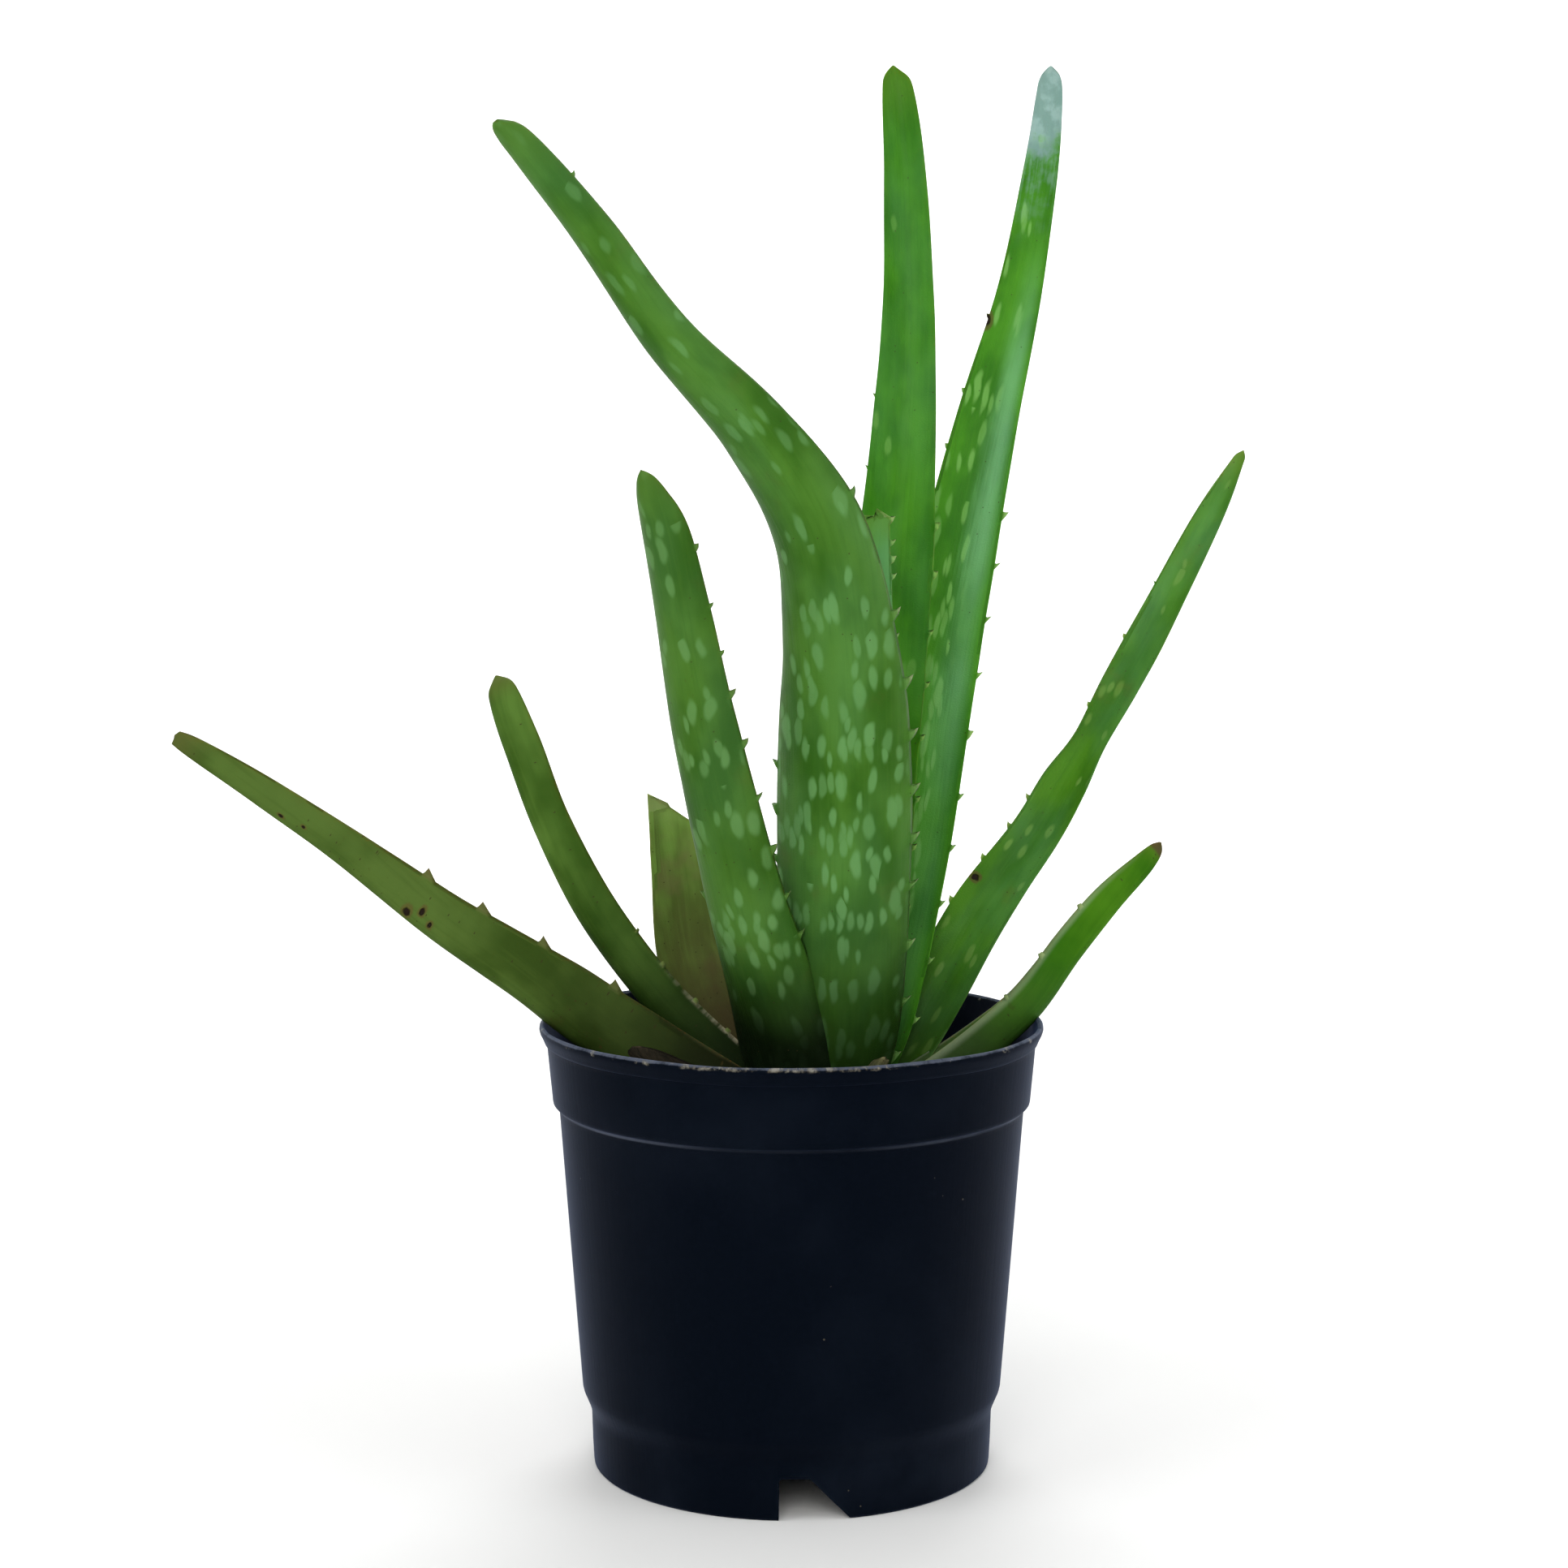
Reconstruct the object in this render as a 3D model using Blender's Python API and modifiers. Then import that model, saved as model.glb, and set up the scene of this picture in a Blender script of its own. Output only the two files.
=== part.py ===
"""Potted aloe: a ten-leaf aloe growing in a round plastic nursery pot.

Sizes below are in millimetres and MM turns them into metres. +Z is up, +X is
to the right and the front faces -Y. The origin is the middle of the pot's
foot, on the surface that the pot stands on.
"""
from math import cos, pi, radians, sin

import bmesh
import bpy
from mathutils import Vector

MM = 0.001
GAP = 0.3              # clearance between neighbouring pieces
LEAF_GAP = 0.4         # clearance between blades where they clasp each other
MERGE = 0.00001        # merge distance for turned shapes, in metres

# Pot
RIM_RADIUS = 60.0
POT_HEIGHT = 106.0
FOOT_RADIUS = 47.6
WALL = 1.4
LIP_DEPTH = 4.0
BAND_BOTTOM = 86.5     # the upper band ends here and the wall steps in
COLLAR_TOP = 12.0      # the lower collar starts here
FLOOR_HEIGHT = 7.0     # underside of the raised floor
FOOT_WIDTH = 2.4       # flat ring that the pot stands on
PAD_RADIUS = 15.0      # the floor dips to the ground again in the middle
PAD_SLOPE = 4.0
POT_STEPS = 48
NOTCH_WIDTH = 17.5     # at the foot; one side is upright and the other leans in
NOTCH_TOP_WIDTH = 7.0
NOTCH_HEIGHT = 10.0
NOTCH_REACH = 14.0     # how far it runs in under the mix
NOTCH_ANGLES = (-83.0, 37.0, 157.0)
DRAIN_RADIUS = 5.0
DRAIN_CIRCLE = 28.0
DRAIN_ANGLES = (-23.0, 97.0, 217.0)

# Potting mix and the crown of the plant
SOIL_TOP = 82.0
SOIL_MOUND = 3.0
SOIL_STEPS = 32
CROWN = (6.0, 1.0)     # where the stem stands, right of and behind the pot's axis
STEM_TOP = 90.0
STEM_BOTTOM = 50.0
STEM_RADIUS = 6.0
STEM_STEPS = 20

# Roots: (angle round the stem, reach sideways, depth below the stem, thickness)
ROOTS = (
    (20.0, 26.0, 26.0, 3.0),
    (95.0, 22.0, 34.0, 2.6),
    (165.0, 28.0, 24.0, 3.0),
    (235.0, 20.0, 33.0, 2.4),
    (305.0, 25.0, 28.0, 2.8),
)

# Leaves, from the centre of the crown outwards.
#   path:   points along the middle of the blade from base to tip, each with the
#           blade's full width there
#   hollow: the side that the channelled face looks to, at the base and at the tip
#   thick:  thickness of the blade as a share of its width
#   cup:    depth of the channel as a share of its width
#   tip:    how much of the last width is left at the closed end
#   slant:  how far the end leans over, as a share of the way across it
#   clears: inner pieces that the blade clasps and is trimmed to
LEAVES = {
    "leaf_stub_centre": {
        "path": [(10, 1, 93, 14), (15, 0, 118, 15), (18.5, -1, 157, 14), (18, -4, 195, 12),
                 (17.5, -5, 215, 10), (18, -6, 228, 6.5)],
        "hollow": [(0.1, -1.0, 0.0), (0.1, -1.0, 0.0)],
        "thick": 0.22, "cup": 0.12, "tip": 0.8, "slant": 0.2, "clears": ["stem_with_roots"],
    },
    "leaf_tall_centre": {
        "path": [(11, 6, 90, 17), (17, 6, 127, 18.5), (21, 8, 175, 19), (24, 12, 214, 19),
                 (26.3, 17, 245, 16), (27.7, 22, 275, 13), (27, 26, 307, 10.5),
                 (25.5, 29, 327, 8), (24.5, 30, 334, 4.5)],
        "hollow": [(0.2, -1.0, 0.1), (0.1, -1.0, 0.1)],
        "thick": 0.24, "cup": 0.16, "tip": 0.4, "slant": -0.3,
        "clears": ["stem_with_roots", "leaf_stub_centre"],
    },
    "leaf_tall_bent": {
        "path": [(8, -4, 90, 25), (10.5, -9, 107, 30), (11.5, -15, 138, 32), (11.5, -21, 170, 32),
                 (10.5, -26, 197, 27.5), (5.5, -31, 224, 22), (-8.5, -35, 246, 16.5),
                 (-28, -38, 267, 12), (-44, -40, 289.5, 10), (-57, -42, 305.5, 8),
                 (-64.5, -43, 313.5, 5.5)],
        "hollow": [(0.1, 1.0, 0.1), (0.3, 1.0, 0.0)],
        "thick": 0.22, "cup": 0.12, "tip": 0.6, "slant": 0.6,
        "clears": ["stem_with_roots", "leaf_stub_centre", "leaf_tall_centre"],
    },
    "leaf_tall_right": {
        "path": [(14, 9, 90, 17), (21.5, 10, 108, 17.5), (29, 14, 145, 18.5), (34.5, 19, 184, 20),
                 (40.5, 25, 217, 19), (48, 32, 250, 15.5), (56, 41, 280, 11.5),
                 (61.7, 50, 310, 9), (64, 54, 328, 6.5), (64.5, 56, 337, 3)],
        "hollow": [(-0.3, -1.0, 0.1), (-0.5, -1.0, 0.1)],
        "thick": 0.24, "cup": 0.18, "tip": 0.4, "slant": 0.0,
        "clears": ["stem_with_roots", "leaf_stub_centre", "leaf_tall_centre", "leaf_tall_bent"],
    },
    "leaf_right": {
        "path": [(18, 10, 89, 16), (30, 13, 103, 16.5), (46, 18, 130, 15.5), (60, 23, 149, 13),
                 (74.5, 30, 173, 10), (89, 37, 198, 8.5), (104, 45, 225.5, 6.5),
                 (113, 50, 242, 2.5)],
        "hollow": [(-0.4, -1.0, 0.3), (-0.9, -0.2, 0.5)],
        "thick": 0.24, "cup": 0.16, "tip": 0.35, "slant": 0.0,
        "clears": ["stem_with_roots", "leaf_tall_centre", "leaf_tall_bent", "leaf_tall_right"],
    },
    "leaf_front_left": {
        "path": [(2.5, -10, 88, 22), (-1, -15, 103, 24), (-6, -20, 121, 21.5),
                 (-11.5, -25, 140.5, 19), (-20, -36, 179, 16), (-24.5, -43, 205, 13.5),
                 (-28, -48, 223, 11.5), (-31, -51, 232, 7.5), (-33, -52, 237.5, 2.5)],
        "hollow": [(0.1, 1.0, 0.2), (0.4, 1.0, 0.3)],
        "thick": 0.24, "cup": 0.12, "tip": 0.35, "slant": 0.0,
        "clears": ["stem_with_roots", "leaf_tall_bent"],
    },
    "leaf_left": {
        "path": [(-5, 4, 88, 12), (-16, 7, 96.5, 12.5), (-32, 10, 112, 12.5), (-46.5, 14, 131, 12.5),
                 (-58, 19, 152, 11.5), (-65.5, 24, 171, 11.5), (-70, 28, 182, 9.5),
                 (-72.5, 30, 187, 5)],
        "hollow": [(0.6, 0.8, 0.5), (0.8, 0.7, 0.4)],
        "thick": 0.32, "cup": 0.14, "tip": 0.5, "slant": 0.0,
        "clears": ["stem_with_roots", "leaf_front_left", "leaf_tall_bent"],
    },
    "leaf_broken_left": {
        "path": [(-3, 15, 91, 13), (-13, 16, 99, 16.5), (-20, 17, 107, 18), (-25, 19, 121, 17),
                 (-27.5, 22, 139, 14), (-29.5, 25, 153, 11.5)],
        "hollow": [(0.3, -1.0, 0.3), (0.1, -1.0, 0.1)],
        "thick": 0.16, "cup": 0.10, "tip": 0.95, "slant": -0.5,
        "clears": ["stem_with_roots", "leaf_left", "leaf_front_left"],
    },
    "leaf_low_left": {
        "path": [(-12, -3, 87, 18), (-30, -1, 97.5, 19), (-50, 1, 110.7, 18), (-63, 2, 119.2, 15.5),
                 (-84.5, 5, 132.5, 13), (-106, 8, 147.5, 10), (-127, 11, 161, 8),
                 (-142, 13, 170, 6), (-148.5, 14, 173.5, 4)],
        "hollow": [(0.3, 0.7, 0.8), (0.3, 0.7, 0.8)],
        "thick": 0.34, "cup": 0.20, "tip": 0.7, "slant": 0.0,
        "clears": ["stem_with_roots", "leaf_front_left", "leaf_left"],
    },
    "leaf_low_right": {
        "path": [(21, 2, 88, 11), (33, 2, 95, 11.5), (45, 3, 103.5, 11), (55, 5, 112, 10),
                 (65, 9, 124, 9), (75, 12, 135, 7.5), (84.5, 15, 143, 5.5),
                 (89.5, 16, 147.5, 3)],
        "hollow": [(-0.4, 0.3, 1.0), (-0.6, 0.2, 0.8)],
        "thick": 0.36, "cup": 0.20, "tip": 0.5, "slant": 0.0,
        "clears": ["stem_with_roots", "leaf_tall_bent", "leaf_tall_right", "leaf_right"],
    },
    "dry_sheath_left": {
        "path": [(-15, -12, 88, 9), (-24, -15, 94, 10), (-33, -17, 100, 7), (-38, -18, 103, 3)],
        "hollow": [(0.5, 0.9, 0.6), (0.5, 0.9, 0.6)],
        "thick": 0.16, "cup": 0.22, "tip": 0.6, "slant": 0.0,
        "clears": ["leaf_low_left", "leaf_front_left"],
    },
    "dry_sheath_front": {
        "path": [(17, -13, 87, 8), (19, -15, 95, 9), (20, -16, 103, 6), (20.5, -16.5, 107, 3)],
        "hollow": [(0.1, 1.0, 0.2), (0.1, 1.0, 0.2)],
        "thick": 0.16, "cup": 0.22, "tip": 0.6, "slant": 0.0,
        "clears": ["leaf_front_left", "leaf_tall_bent"],
    },
}
STATIONS = 3           # blade sections between two points of a path
SECTION_POINTS = 12    # points round a blade section

# Finishes: (colour, roughness)
FINISHES = {
    "pot_plastic": ((0.008, 0.011, 0.017), 0.45),
    "potting_mix": ((0.030, 0.020, 0.013), 0.95),
    "stem_tissue": ((0.25, 0.23, 0.12), 0.70),
    "leaf_skin": ((0.075, 0.19, 0.035), 0.42),
    "leaf_skin_olive": ((0.11, 0.15, 0.035), 0.48),
    "dry_sheath": ((0.14, 0.085, 0.045), 0.80),
}
OLIVE_LEAVES = ("leaf_low_left", "leaf_left", "leaf_broken_left")


def clear_scene():
    for old in list(bpy.data.objects):
        bpy.data.objects.remove(old)


def new_collection(name):
    collection = bpy.data.collections.new(name)
    bpy.context.scene.collection.children.link(collection)
    return collection


def finish_material(name):
    """A plain Principled material in one of the finishes above."""
    if name in bpy.data.materials:
        return bpy.data.materials[name]
    colour, roughness = FINISHES[name]
    material = bpy.data.materials.new(name)
    material.use_nodes = True
    shader = material.node_tree.nodes["Principled BSDF"]
    shader.inputs["Base Color"].default_value = (*colour, 1.0)
    shader.inputs["Roughness"].default_value = roughness
    shader.inputs["Metallic"].default_value = 0.0
    material.diffuse_color = (*colour, 1.0)
    return material


def new_object(name, bm, collection, finish=None):
    """Turn a bmesh into a smooth-shaded object with its own finish."""
    mesh = bpy.data.meshes.new(name)
    bm.to_mesh(mesh)
    bm.free()
    obj = bpy.data.objects.new(name, mesh)
    collection.objects.link(obj)
    mesh.shade_smooth()
    if finish:
        mesh.materials.append(finish_material(finish))
    else:
        obj.hide_render = True
        obj.display_type = "WIRE"
    return obj


def turned(name, profile, steps, collection, finish=None, centre=(0.0, 0.0)):
    """Turn an outline of (radius, height) points round an upright axis."""
    bm = bmesh.new()
    points = [bm.verts.new((r * MM, 0.0, z * MM)) for r, z in profile]
    for start, end in zip(points, points[1:]):
        bm.edges.new((start, end))
    obj = new_object(name, bm, collection, finish)
    obj.location = (centre[0] * MM, centre[1] * MM, 0.0)
    screw = obj.modifiers.new("turn", "SCREW")
    screw.steps = steps
    screw.render_steps = steps
    screw.use_merge_vertices = True
    screw.merge_threshold = MERGE
    screw.use_smooth_shade = True
    return obj


def cut(obj, cutter, operation="DIFFERENCE"):
    boolean = obj.modifiers.new(cutter.name, "BOOLEAN")
    boolean.operation = operation
    boolean.solver = "EXACT"
    boolean.object = cutter


def pot_outline():
    """Pot section: up the inside, over the lip, down the outside, round the foot."""
    wall_top = 55.0
    collar = FOOT_RADIUS + 0.4
    outside = [
        (RIM_RADIUS, POT_HEIGHT - 0.6),
        (RIM_RADIUS - 0.3, POT_HEIGHT - 1.8),
        (RIM_RADIUS - 1.2, POT_HEIGHT - LIP_DEPTH),
        (58.0, 99.0),
        (56.8, BAND_BOTTOM + 0.6),
        (56.3, BAND_BOTTOM - 0.4),
        (wall_top + 0.3, BAND_BOTTOM - 2.0),
        (wall_top, 82.0),
        (50.2, 19.0),
        (49.7, 17.5),
        (collar + 0.5, COLLAR_TOP + 1.5),
        (collar, COLLAR_TOP - 1.0),
        (FOOT_RADIUS, 0.6),
        (FOOT_RADIUS - 0.6, 0.0),
    ]
    foot = [
        (FOOT_RADIUS - 0.6 - FOOT_WIDTH, 0.0),
        (FOOT_RADIUS - 0.8 - FOOT_WIDTH, FLOOR_HEIGHT - 0.6),
        (FOOT_RADIUS - 1.6 - FOOT_WIDTH, FLOOR_HEIGHT),
        (PAD_RADIUS + PAD_SLOPE, FLOOR_HEIGHT),
        (PAD_RADIUS, 0.0),
        (0.0, 0.0),
    ]
    inside = [
        (0.0, WALL),
        (PAD_RADIUS - WALL / 2, WALL),
        (PAD_RADIUS + PAD_SLOPE - WALL / 2, FLOOR_HEIGHT + WALL),
        (43.5, FLOOR_HEIGHT + WALL),
        (46.4, FLOOR_HEIGHT + 2.5 * WALL),
        (47.0, COLLAR_TOP + 2.0),
        (48.8, 19.0),
        (wall_top - WALL, 82.0),
        (55.3, BAND_BOTTOM),
        (56.6, 99.0),
        (57.6, POT_HEIGHT - LIP_DEPTH),
        (58.5, POT_HEIGHT - 0.8),
        (59.0, POT_HEIGHT),
        (59.6, POT_HEIGHT),
    ]
    return inside + outside + foot


def notch_cutter(number, degrees, collection):
    """A block through the skirt whose one side leans in towards its top."""
    bm = bmesh.new()
    bmesh.ops.create_cube(bm, size=1.0)
    depth = NOTCH_HEIGHT + 1.0
    bmesh.ops.scale(bm, vec=(NOTCH_REACH * MM, NOTCH_WIDTH * MM, depth * MM), verts=bm.verts)
    for vert in bm.verts:
        if vert.co.y > 0 and vert.co.z > 0:
            vert.co.y -= (NOTCH_WIDTH - NOTCH_TOP_WIDTH) * MM
    notch = new_object(f"notch_{number}", bm, collection)
    angle = radians(degrees)
    middle = FOOT_RADIUS + 2.0 - NOTCH_REACH / 2
    notch.location = (middle * cos(angle) * MM, middle * sin(angle) * MM,
                      (NOTCH_HEIGHT - depth / 2) * MM)
    notch.rotation_euler = (0.0, 0.0, angle)
    return notch


def drain_cutter(number, degrees, collection):
    bm = bmesh.new()
    bmesh.ops.create_cone(bm, cap_ends=True, segments=16, radius1=DRAIN_RADIUS * MM,
                          radius2=DRAIN_RADIUS * MM, depth=3.0 * WALL * MM)
    hole = new_object(f"drain_hole_{number}", bm, collection)
    angle = radians(degrees)
    hole.location = (DRAIN_CIRCLE * cos(angle) * MM, DRAIN_CIRCLE * sin(angle) * MM,
                     (FLOOR_HEIGHT + WALL / 2) * MM)
    return hole


def make_pot(collection, cutters):
    """Thin pot with a raised floor, three skirt notches and three drain holes."""
    pot = turned("pot", pot_outline(), POT_STEPS, collection, "pot_plastic")
    for number, degrees in enumerate(NOTCH_ANGLES, start=1):
        cut(pot, notch_cutter(number, degrees, cutters))
    for number, degrees in enumerate(DRAIN_ANGLES, start=1):
        cut(pot, drain_cutter(number, degrees, cutters))
    return pot


def stem_outline(grow=0.0):
    """Short stem: a blunt growing tip, a slight waist and a rounded lower end."""
    return [
        (0.0, STEM_TOP + grow),
        (STEM_RADIUS * 0.5 + grow, STEM_TOP - 0.8 + grow),
        (STEM_RADIUS * 0.9 + grow, STEM_TOP - 3.0),
        (STEM_RADIUS + grow, STEM_TOP - 9.0),
        (STEM_RADIUS * 0.95 + grow, SOIL_TOP - 10.0),
        (STEM_RADIUS * 0.8 + grow, STEM_BOTTOM + 6.0),
        (STEM_RADIUS * 0.45 + grow, STEM_BOTTOM + 1.0 - grow),
        (0.0, STEM_BOTTOM - grow),
    ]


def root_tube(name, root, cutters, grow=0.0):
    """One root as a closed tapered tube, from inside the stem out and down."""
    degrees, reach, drop, thickness = root
    way = Vector((cos(radians(degrees)), sin(radians(degrees)), 0.0))
    start = Vector((CROWN[0], CROWN[1], STEM_BOTTOM + 9.0)) + way * (STEM_RADIUS * 0.3)
    middle = start + way * (reach * 0.6) + Vector((0.0, 0.0, -drop * 0.35))
    end = start + way * reach + Vector((0.0, 0.0, -drop))
    curve = bpy.data.curves.new(name, "CURVE")
    curve.dimensions = "3D"
    curve.bevel_depth = MM
    curve.bevel_resolution = 1
    curve.resolution_u = 4
    curve.use_fill_caps = True
    spline = curve.splines.new("BEZIER")
    spline.bezier_points.add(2)
    shares = (0.5, 0.4, 0.22)
    for point, place, share in zip(spline.bezier_points, (start, middle, end), shares):
        point.co = place * MM
        point.handle_left_type = "AUTO"
        point.handle_right_type = "AUTO"
        point.radius = thickness * share + grow
    tube = bpy.data.objects.new(name, curve)
    cutters.objects.link(tube)
    bpy.context.view_layer.update()
    shape = tube.evaluated_get(bpy.context.evaluated_depsgraph_get())
    bm = bmesh.new()
    bm.from_mesh(bpy.data.meshes.new_from_object(shape))
    bmesh.ops.remove_doubles(bm, verts=bm.verts, dist=MERGE)
    bmesh.ops.recalc_face_normals(bm, faces=bm.faces)
    bpy.data.objects.remove(tube)
    return new_object(name, bm, cutters)


def make_stem(collection, cutters):
    """The stem with its roots joined on, and the space that both need in the mix."""
    stem = turned("stem_with_roots", stem_outline(), STEM_STEPS, collection,
                  "stem_tissue", CROWN)
    space = turned("space_stem_with_roots", stem_outline(GAP), STEM_STEPS, cutters,
                   centre=CROWN)
    for number, root in enumerate(ROOTS, start=1):
        cut(stem, root_tube(f"root_{number}", root, cutters), "UNION")
        cut(space, root_tube(f"space_root_{number}", root, cutters, GAP), "UNION")
    return space


def soil_surface(grow=0.0):
    """Top of the potting mix, from the middle of the low mound out to the wall."""
    return [
        (0.0, SOIL_TOP + SOIL_MOUND + grow),
        (12.0, SOIL_TOP + SOIL_MOUND * 0.9 + grow),
        (26.0, SOIL_TOP + SOIL_MOUND * 0.4 + grow),
        (40.0, SOIL_TOP + grow),
        (52.0, SOIL_TOP - 1.0 + grow),
    ]


def make_soil(collection, cutters, stem_space):
    """Potting mix with room for stem and roots, and the space that blades keep out of."""
    bottom = FLOOR_HEIGHT + WALL + GAP
    sides = [
        (53.0, SOIL_TOP - 2.0),
        (48.4, 19.0),
        (46.5, COLLAR_TOP + 2.0),
        (45.8, FLOOR_HEIGHT + 3.0 * WALL),
        (43.3, bottom),
        (PAD_RADIUS + PAD_SLOPE - WALL, bottom),
        (PAD_RADIUS - WALL, WALL + GAP),
        (0.0, WALL + GAP),
    ]
    soil = turned("potting_mix", soil_surface() + sides, SOIL_STEPS, collection,
                  "potting_mix")
    cut(soil, stem_space)
    below = [(52.0, SOIL_TOP - 30.0), (0.0, SOIL_TOP - 30.0)]
    return turned("space_potting_mix", soil_surface(GAP) + below, SOIL_STEPS, cutters)


def smooth_points(path):
    """Catmull-Rom curve through (x, y, z, width) points, in STATIONS steps a span."""
    knots = [Vector(point) for point in path]
    knots = [2 * knots[0] - knots[1]] + knots + [2 * knots[-1] - knots[-2]]
    points = []
    for before, start, end, after in zip(knots, knots[1:], knots[2:], knots[3:]):
        for step in range(STATIONS):
            t = step / STATIONS
            points.append(0.5 * (2 * start + (end - before) * t
                                 + (2 * before - 5 * start + 4 * end - after) * t ** 2
                                 + (3 * start - before - 3 * end + after) * t ** 3))
    points.append(knots[-2])
    return points


def blade_section(centre, along, hollow, width, leaf, grow, slant=0.0):
    """Ring of points round a channelled blade that lies across the way along."""
    across = along.cross(hollow).normalized()
    up = across.cross(along).normalized()
    half = width / 2 + grow
    under = width * leaf["thick"] + grow
    over = width * leaf["thick"] * 0.15 + grow
    ring = []
    for number in range(SECTION_POINTS):
        angle = 2 * pi * number / SECTION_POINTS
        reach = half * cos(angle)
        depth = over if sin(angle) > 0 else under
        channel = 2 * leaf["cup"] * width * ((2 * reach / width) ** 2 - 0.5)
        height = channel + depth * sin(angle)
        ring.append((centre + (across + along * slant) * reach + up * height) * MM)
    return ring


def make_blade(name, leaf, collection, finish=None, grow=0.0):
    """Loft a blade along its path: the sections change in width, turn and depth."""
    points = smooth_points(leaf["path"])
    middles = [point.to_3d() for point in points]
    base_hollow, tip_hollow = [Vector(way) for way in leaf["hollow"]]
    last = len(points) - 1
    bm = bmesh.new()
    rings = []
    for number, point in enumerate(points):
        along = (middles[min(number + 1, last)] - middles[max(number - 1, 0)]).normalized()
        hollow = base_hollow.lerp(tip_hollow, number / last)
        centre, width, slant = middles[number], point[3], 0.0
        if number == 0:
            centre = centre - along * grow
        if number == last:
            centre = centre + along * grow
            width *= leaf["tip"]
            slant = leaf["slant"]
        ring = blade_section(centre, along, hollow, width, leaf, grow, slant)
        rings.append([bm.verts.new(place) for place in ring])
    for lower, upper in zip(rings, rings[1:]):
        for i in range(SECTION_POINTS):
            j = (i + 1) % SECTION_POINTS
            bm.faces.new((lower[i], lower[j], upper[j], upper[i]))
    bm.faces.new(rings[0])
    bm.faces.new(rings[-1])
    bmesh.ops.recalc_face_normals(bm, faces=bm.faces)
    # The same diagonals on a blade and on its space keep one inside the other.
    bmesh.ops.triangulate(bm, faces=bm.faces, quad_method="FIXED")
    return new_object(name, bm, collection, finish)


def leaf_finish(name):
    if name.startswith("dry"):
        return "dry_sheath"
    return "leaf_skin_olive" if name in OLIVE_LEAVES else "leaf_skin"


def make_leaves(collection, cutters, spaces):
    """All blades; each is trimmed at the mix and where it clasps the pieces further in."""
    for name, leaf in LEAVES.items():
        blade = make_blade(name, leaf, collection, leaf_finish(name))
        for inner in ["potting_mix"] + leaf["clears"]:
            cut(blade, spaces[inner])
        spaces[name] = make_blade(f"space_{name}", leaf, cutters, grow=LEAF_GAP)


def main():
    clear_scene()
    plant = new_collection("potted_aloe_plant")
    cutters = new_collection("cutters")
    make_pot(plant, cutters)
    stem_space = make_stem(plant, cutters)
    soil_space = make_soil(plant, cutters, stem_space)
    make_leaves(plant, cutters, {"stem_with_roots": stem_space, "potting_mix": soil_space})


main()
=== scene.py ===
import random
from math import cos, pi, radians, sin
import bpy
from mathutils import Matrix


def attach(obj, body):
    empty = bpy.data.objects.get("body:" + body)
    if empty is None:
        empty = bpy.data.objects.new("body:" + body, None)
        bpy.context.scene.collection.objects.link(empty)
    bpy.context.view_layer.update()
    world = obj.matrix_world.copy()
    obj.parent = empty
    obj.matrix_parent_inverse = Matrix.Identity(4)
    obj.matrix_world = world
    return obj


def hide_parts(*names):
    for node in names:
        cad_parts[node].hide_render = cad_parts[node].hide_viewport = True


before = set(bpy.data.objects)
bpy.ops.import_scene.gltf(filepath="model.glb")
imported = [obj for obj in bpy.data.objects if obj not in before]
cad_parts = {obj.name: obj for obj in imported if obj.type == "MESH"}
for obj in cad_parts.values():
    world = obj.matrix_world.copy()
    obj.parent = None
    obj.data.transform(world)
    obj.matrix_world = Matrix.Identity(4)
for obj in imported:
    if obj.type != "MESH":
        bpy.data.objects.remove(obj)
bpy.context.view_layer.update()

from types import SimpleNamespace

import bpy
import numpy as np
from mathutils import Matrix, Vector, noise

mm = 0.001


def srgb(red, green, blue, alpha=1.0):
    # a colour given as 0-255 on screen, turned into the linear one that shaders want
    linear = [((c / 255 + 0.055) / 1.055) ** 2.4 if c > 10 else c / 255 / 12.92
              for c in (red, green, blue)]
    return (*linear, alpha)


# shader sums

class Wire:
    # one output socket that Python arithmetic can be done on

    def __init__(self, paint, socket):
        self.paint, self.socket = paint, socket

    def sum(self, operation, *terms):
        return self.paint.node("ShaderNodeMath", {"operation": operation}, (self, *terms))

    def __add__(self, other):
        return self.sum("ADD", other)

    def __mul__(self, other):
        return self.sum("MULTIPLY", other)

    __radd__ = __add__
    __rmul__ = __mul__

    def __sub__(self, other):
        return self.sum("SUBTRACT", other)

    def __rsub__(self, other):
        return self.sum("MULTIPLY_ADD", -1.0, other)

    def __truediv__(self, other):
        return self.sum("DIVIDE", other)

    def __abs__(self):
        return self.sum("ABSOLUTE")

    def most(self, other):
        return self.sum("MAXIMUM", other)

    def over(self, other):
        return self.sum("GREATER_THAN", other)

    def under(self, above, share):
        return self.paint.blend(self, above, share)


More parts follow.
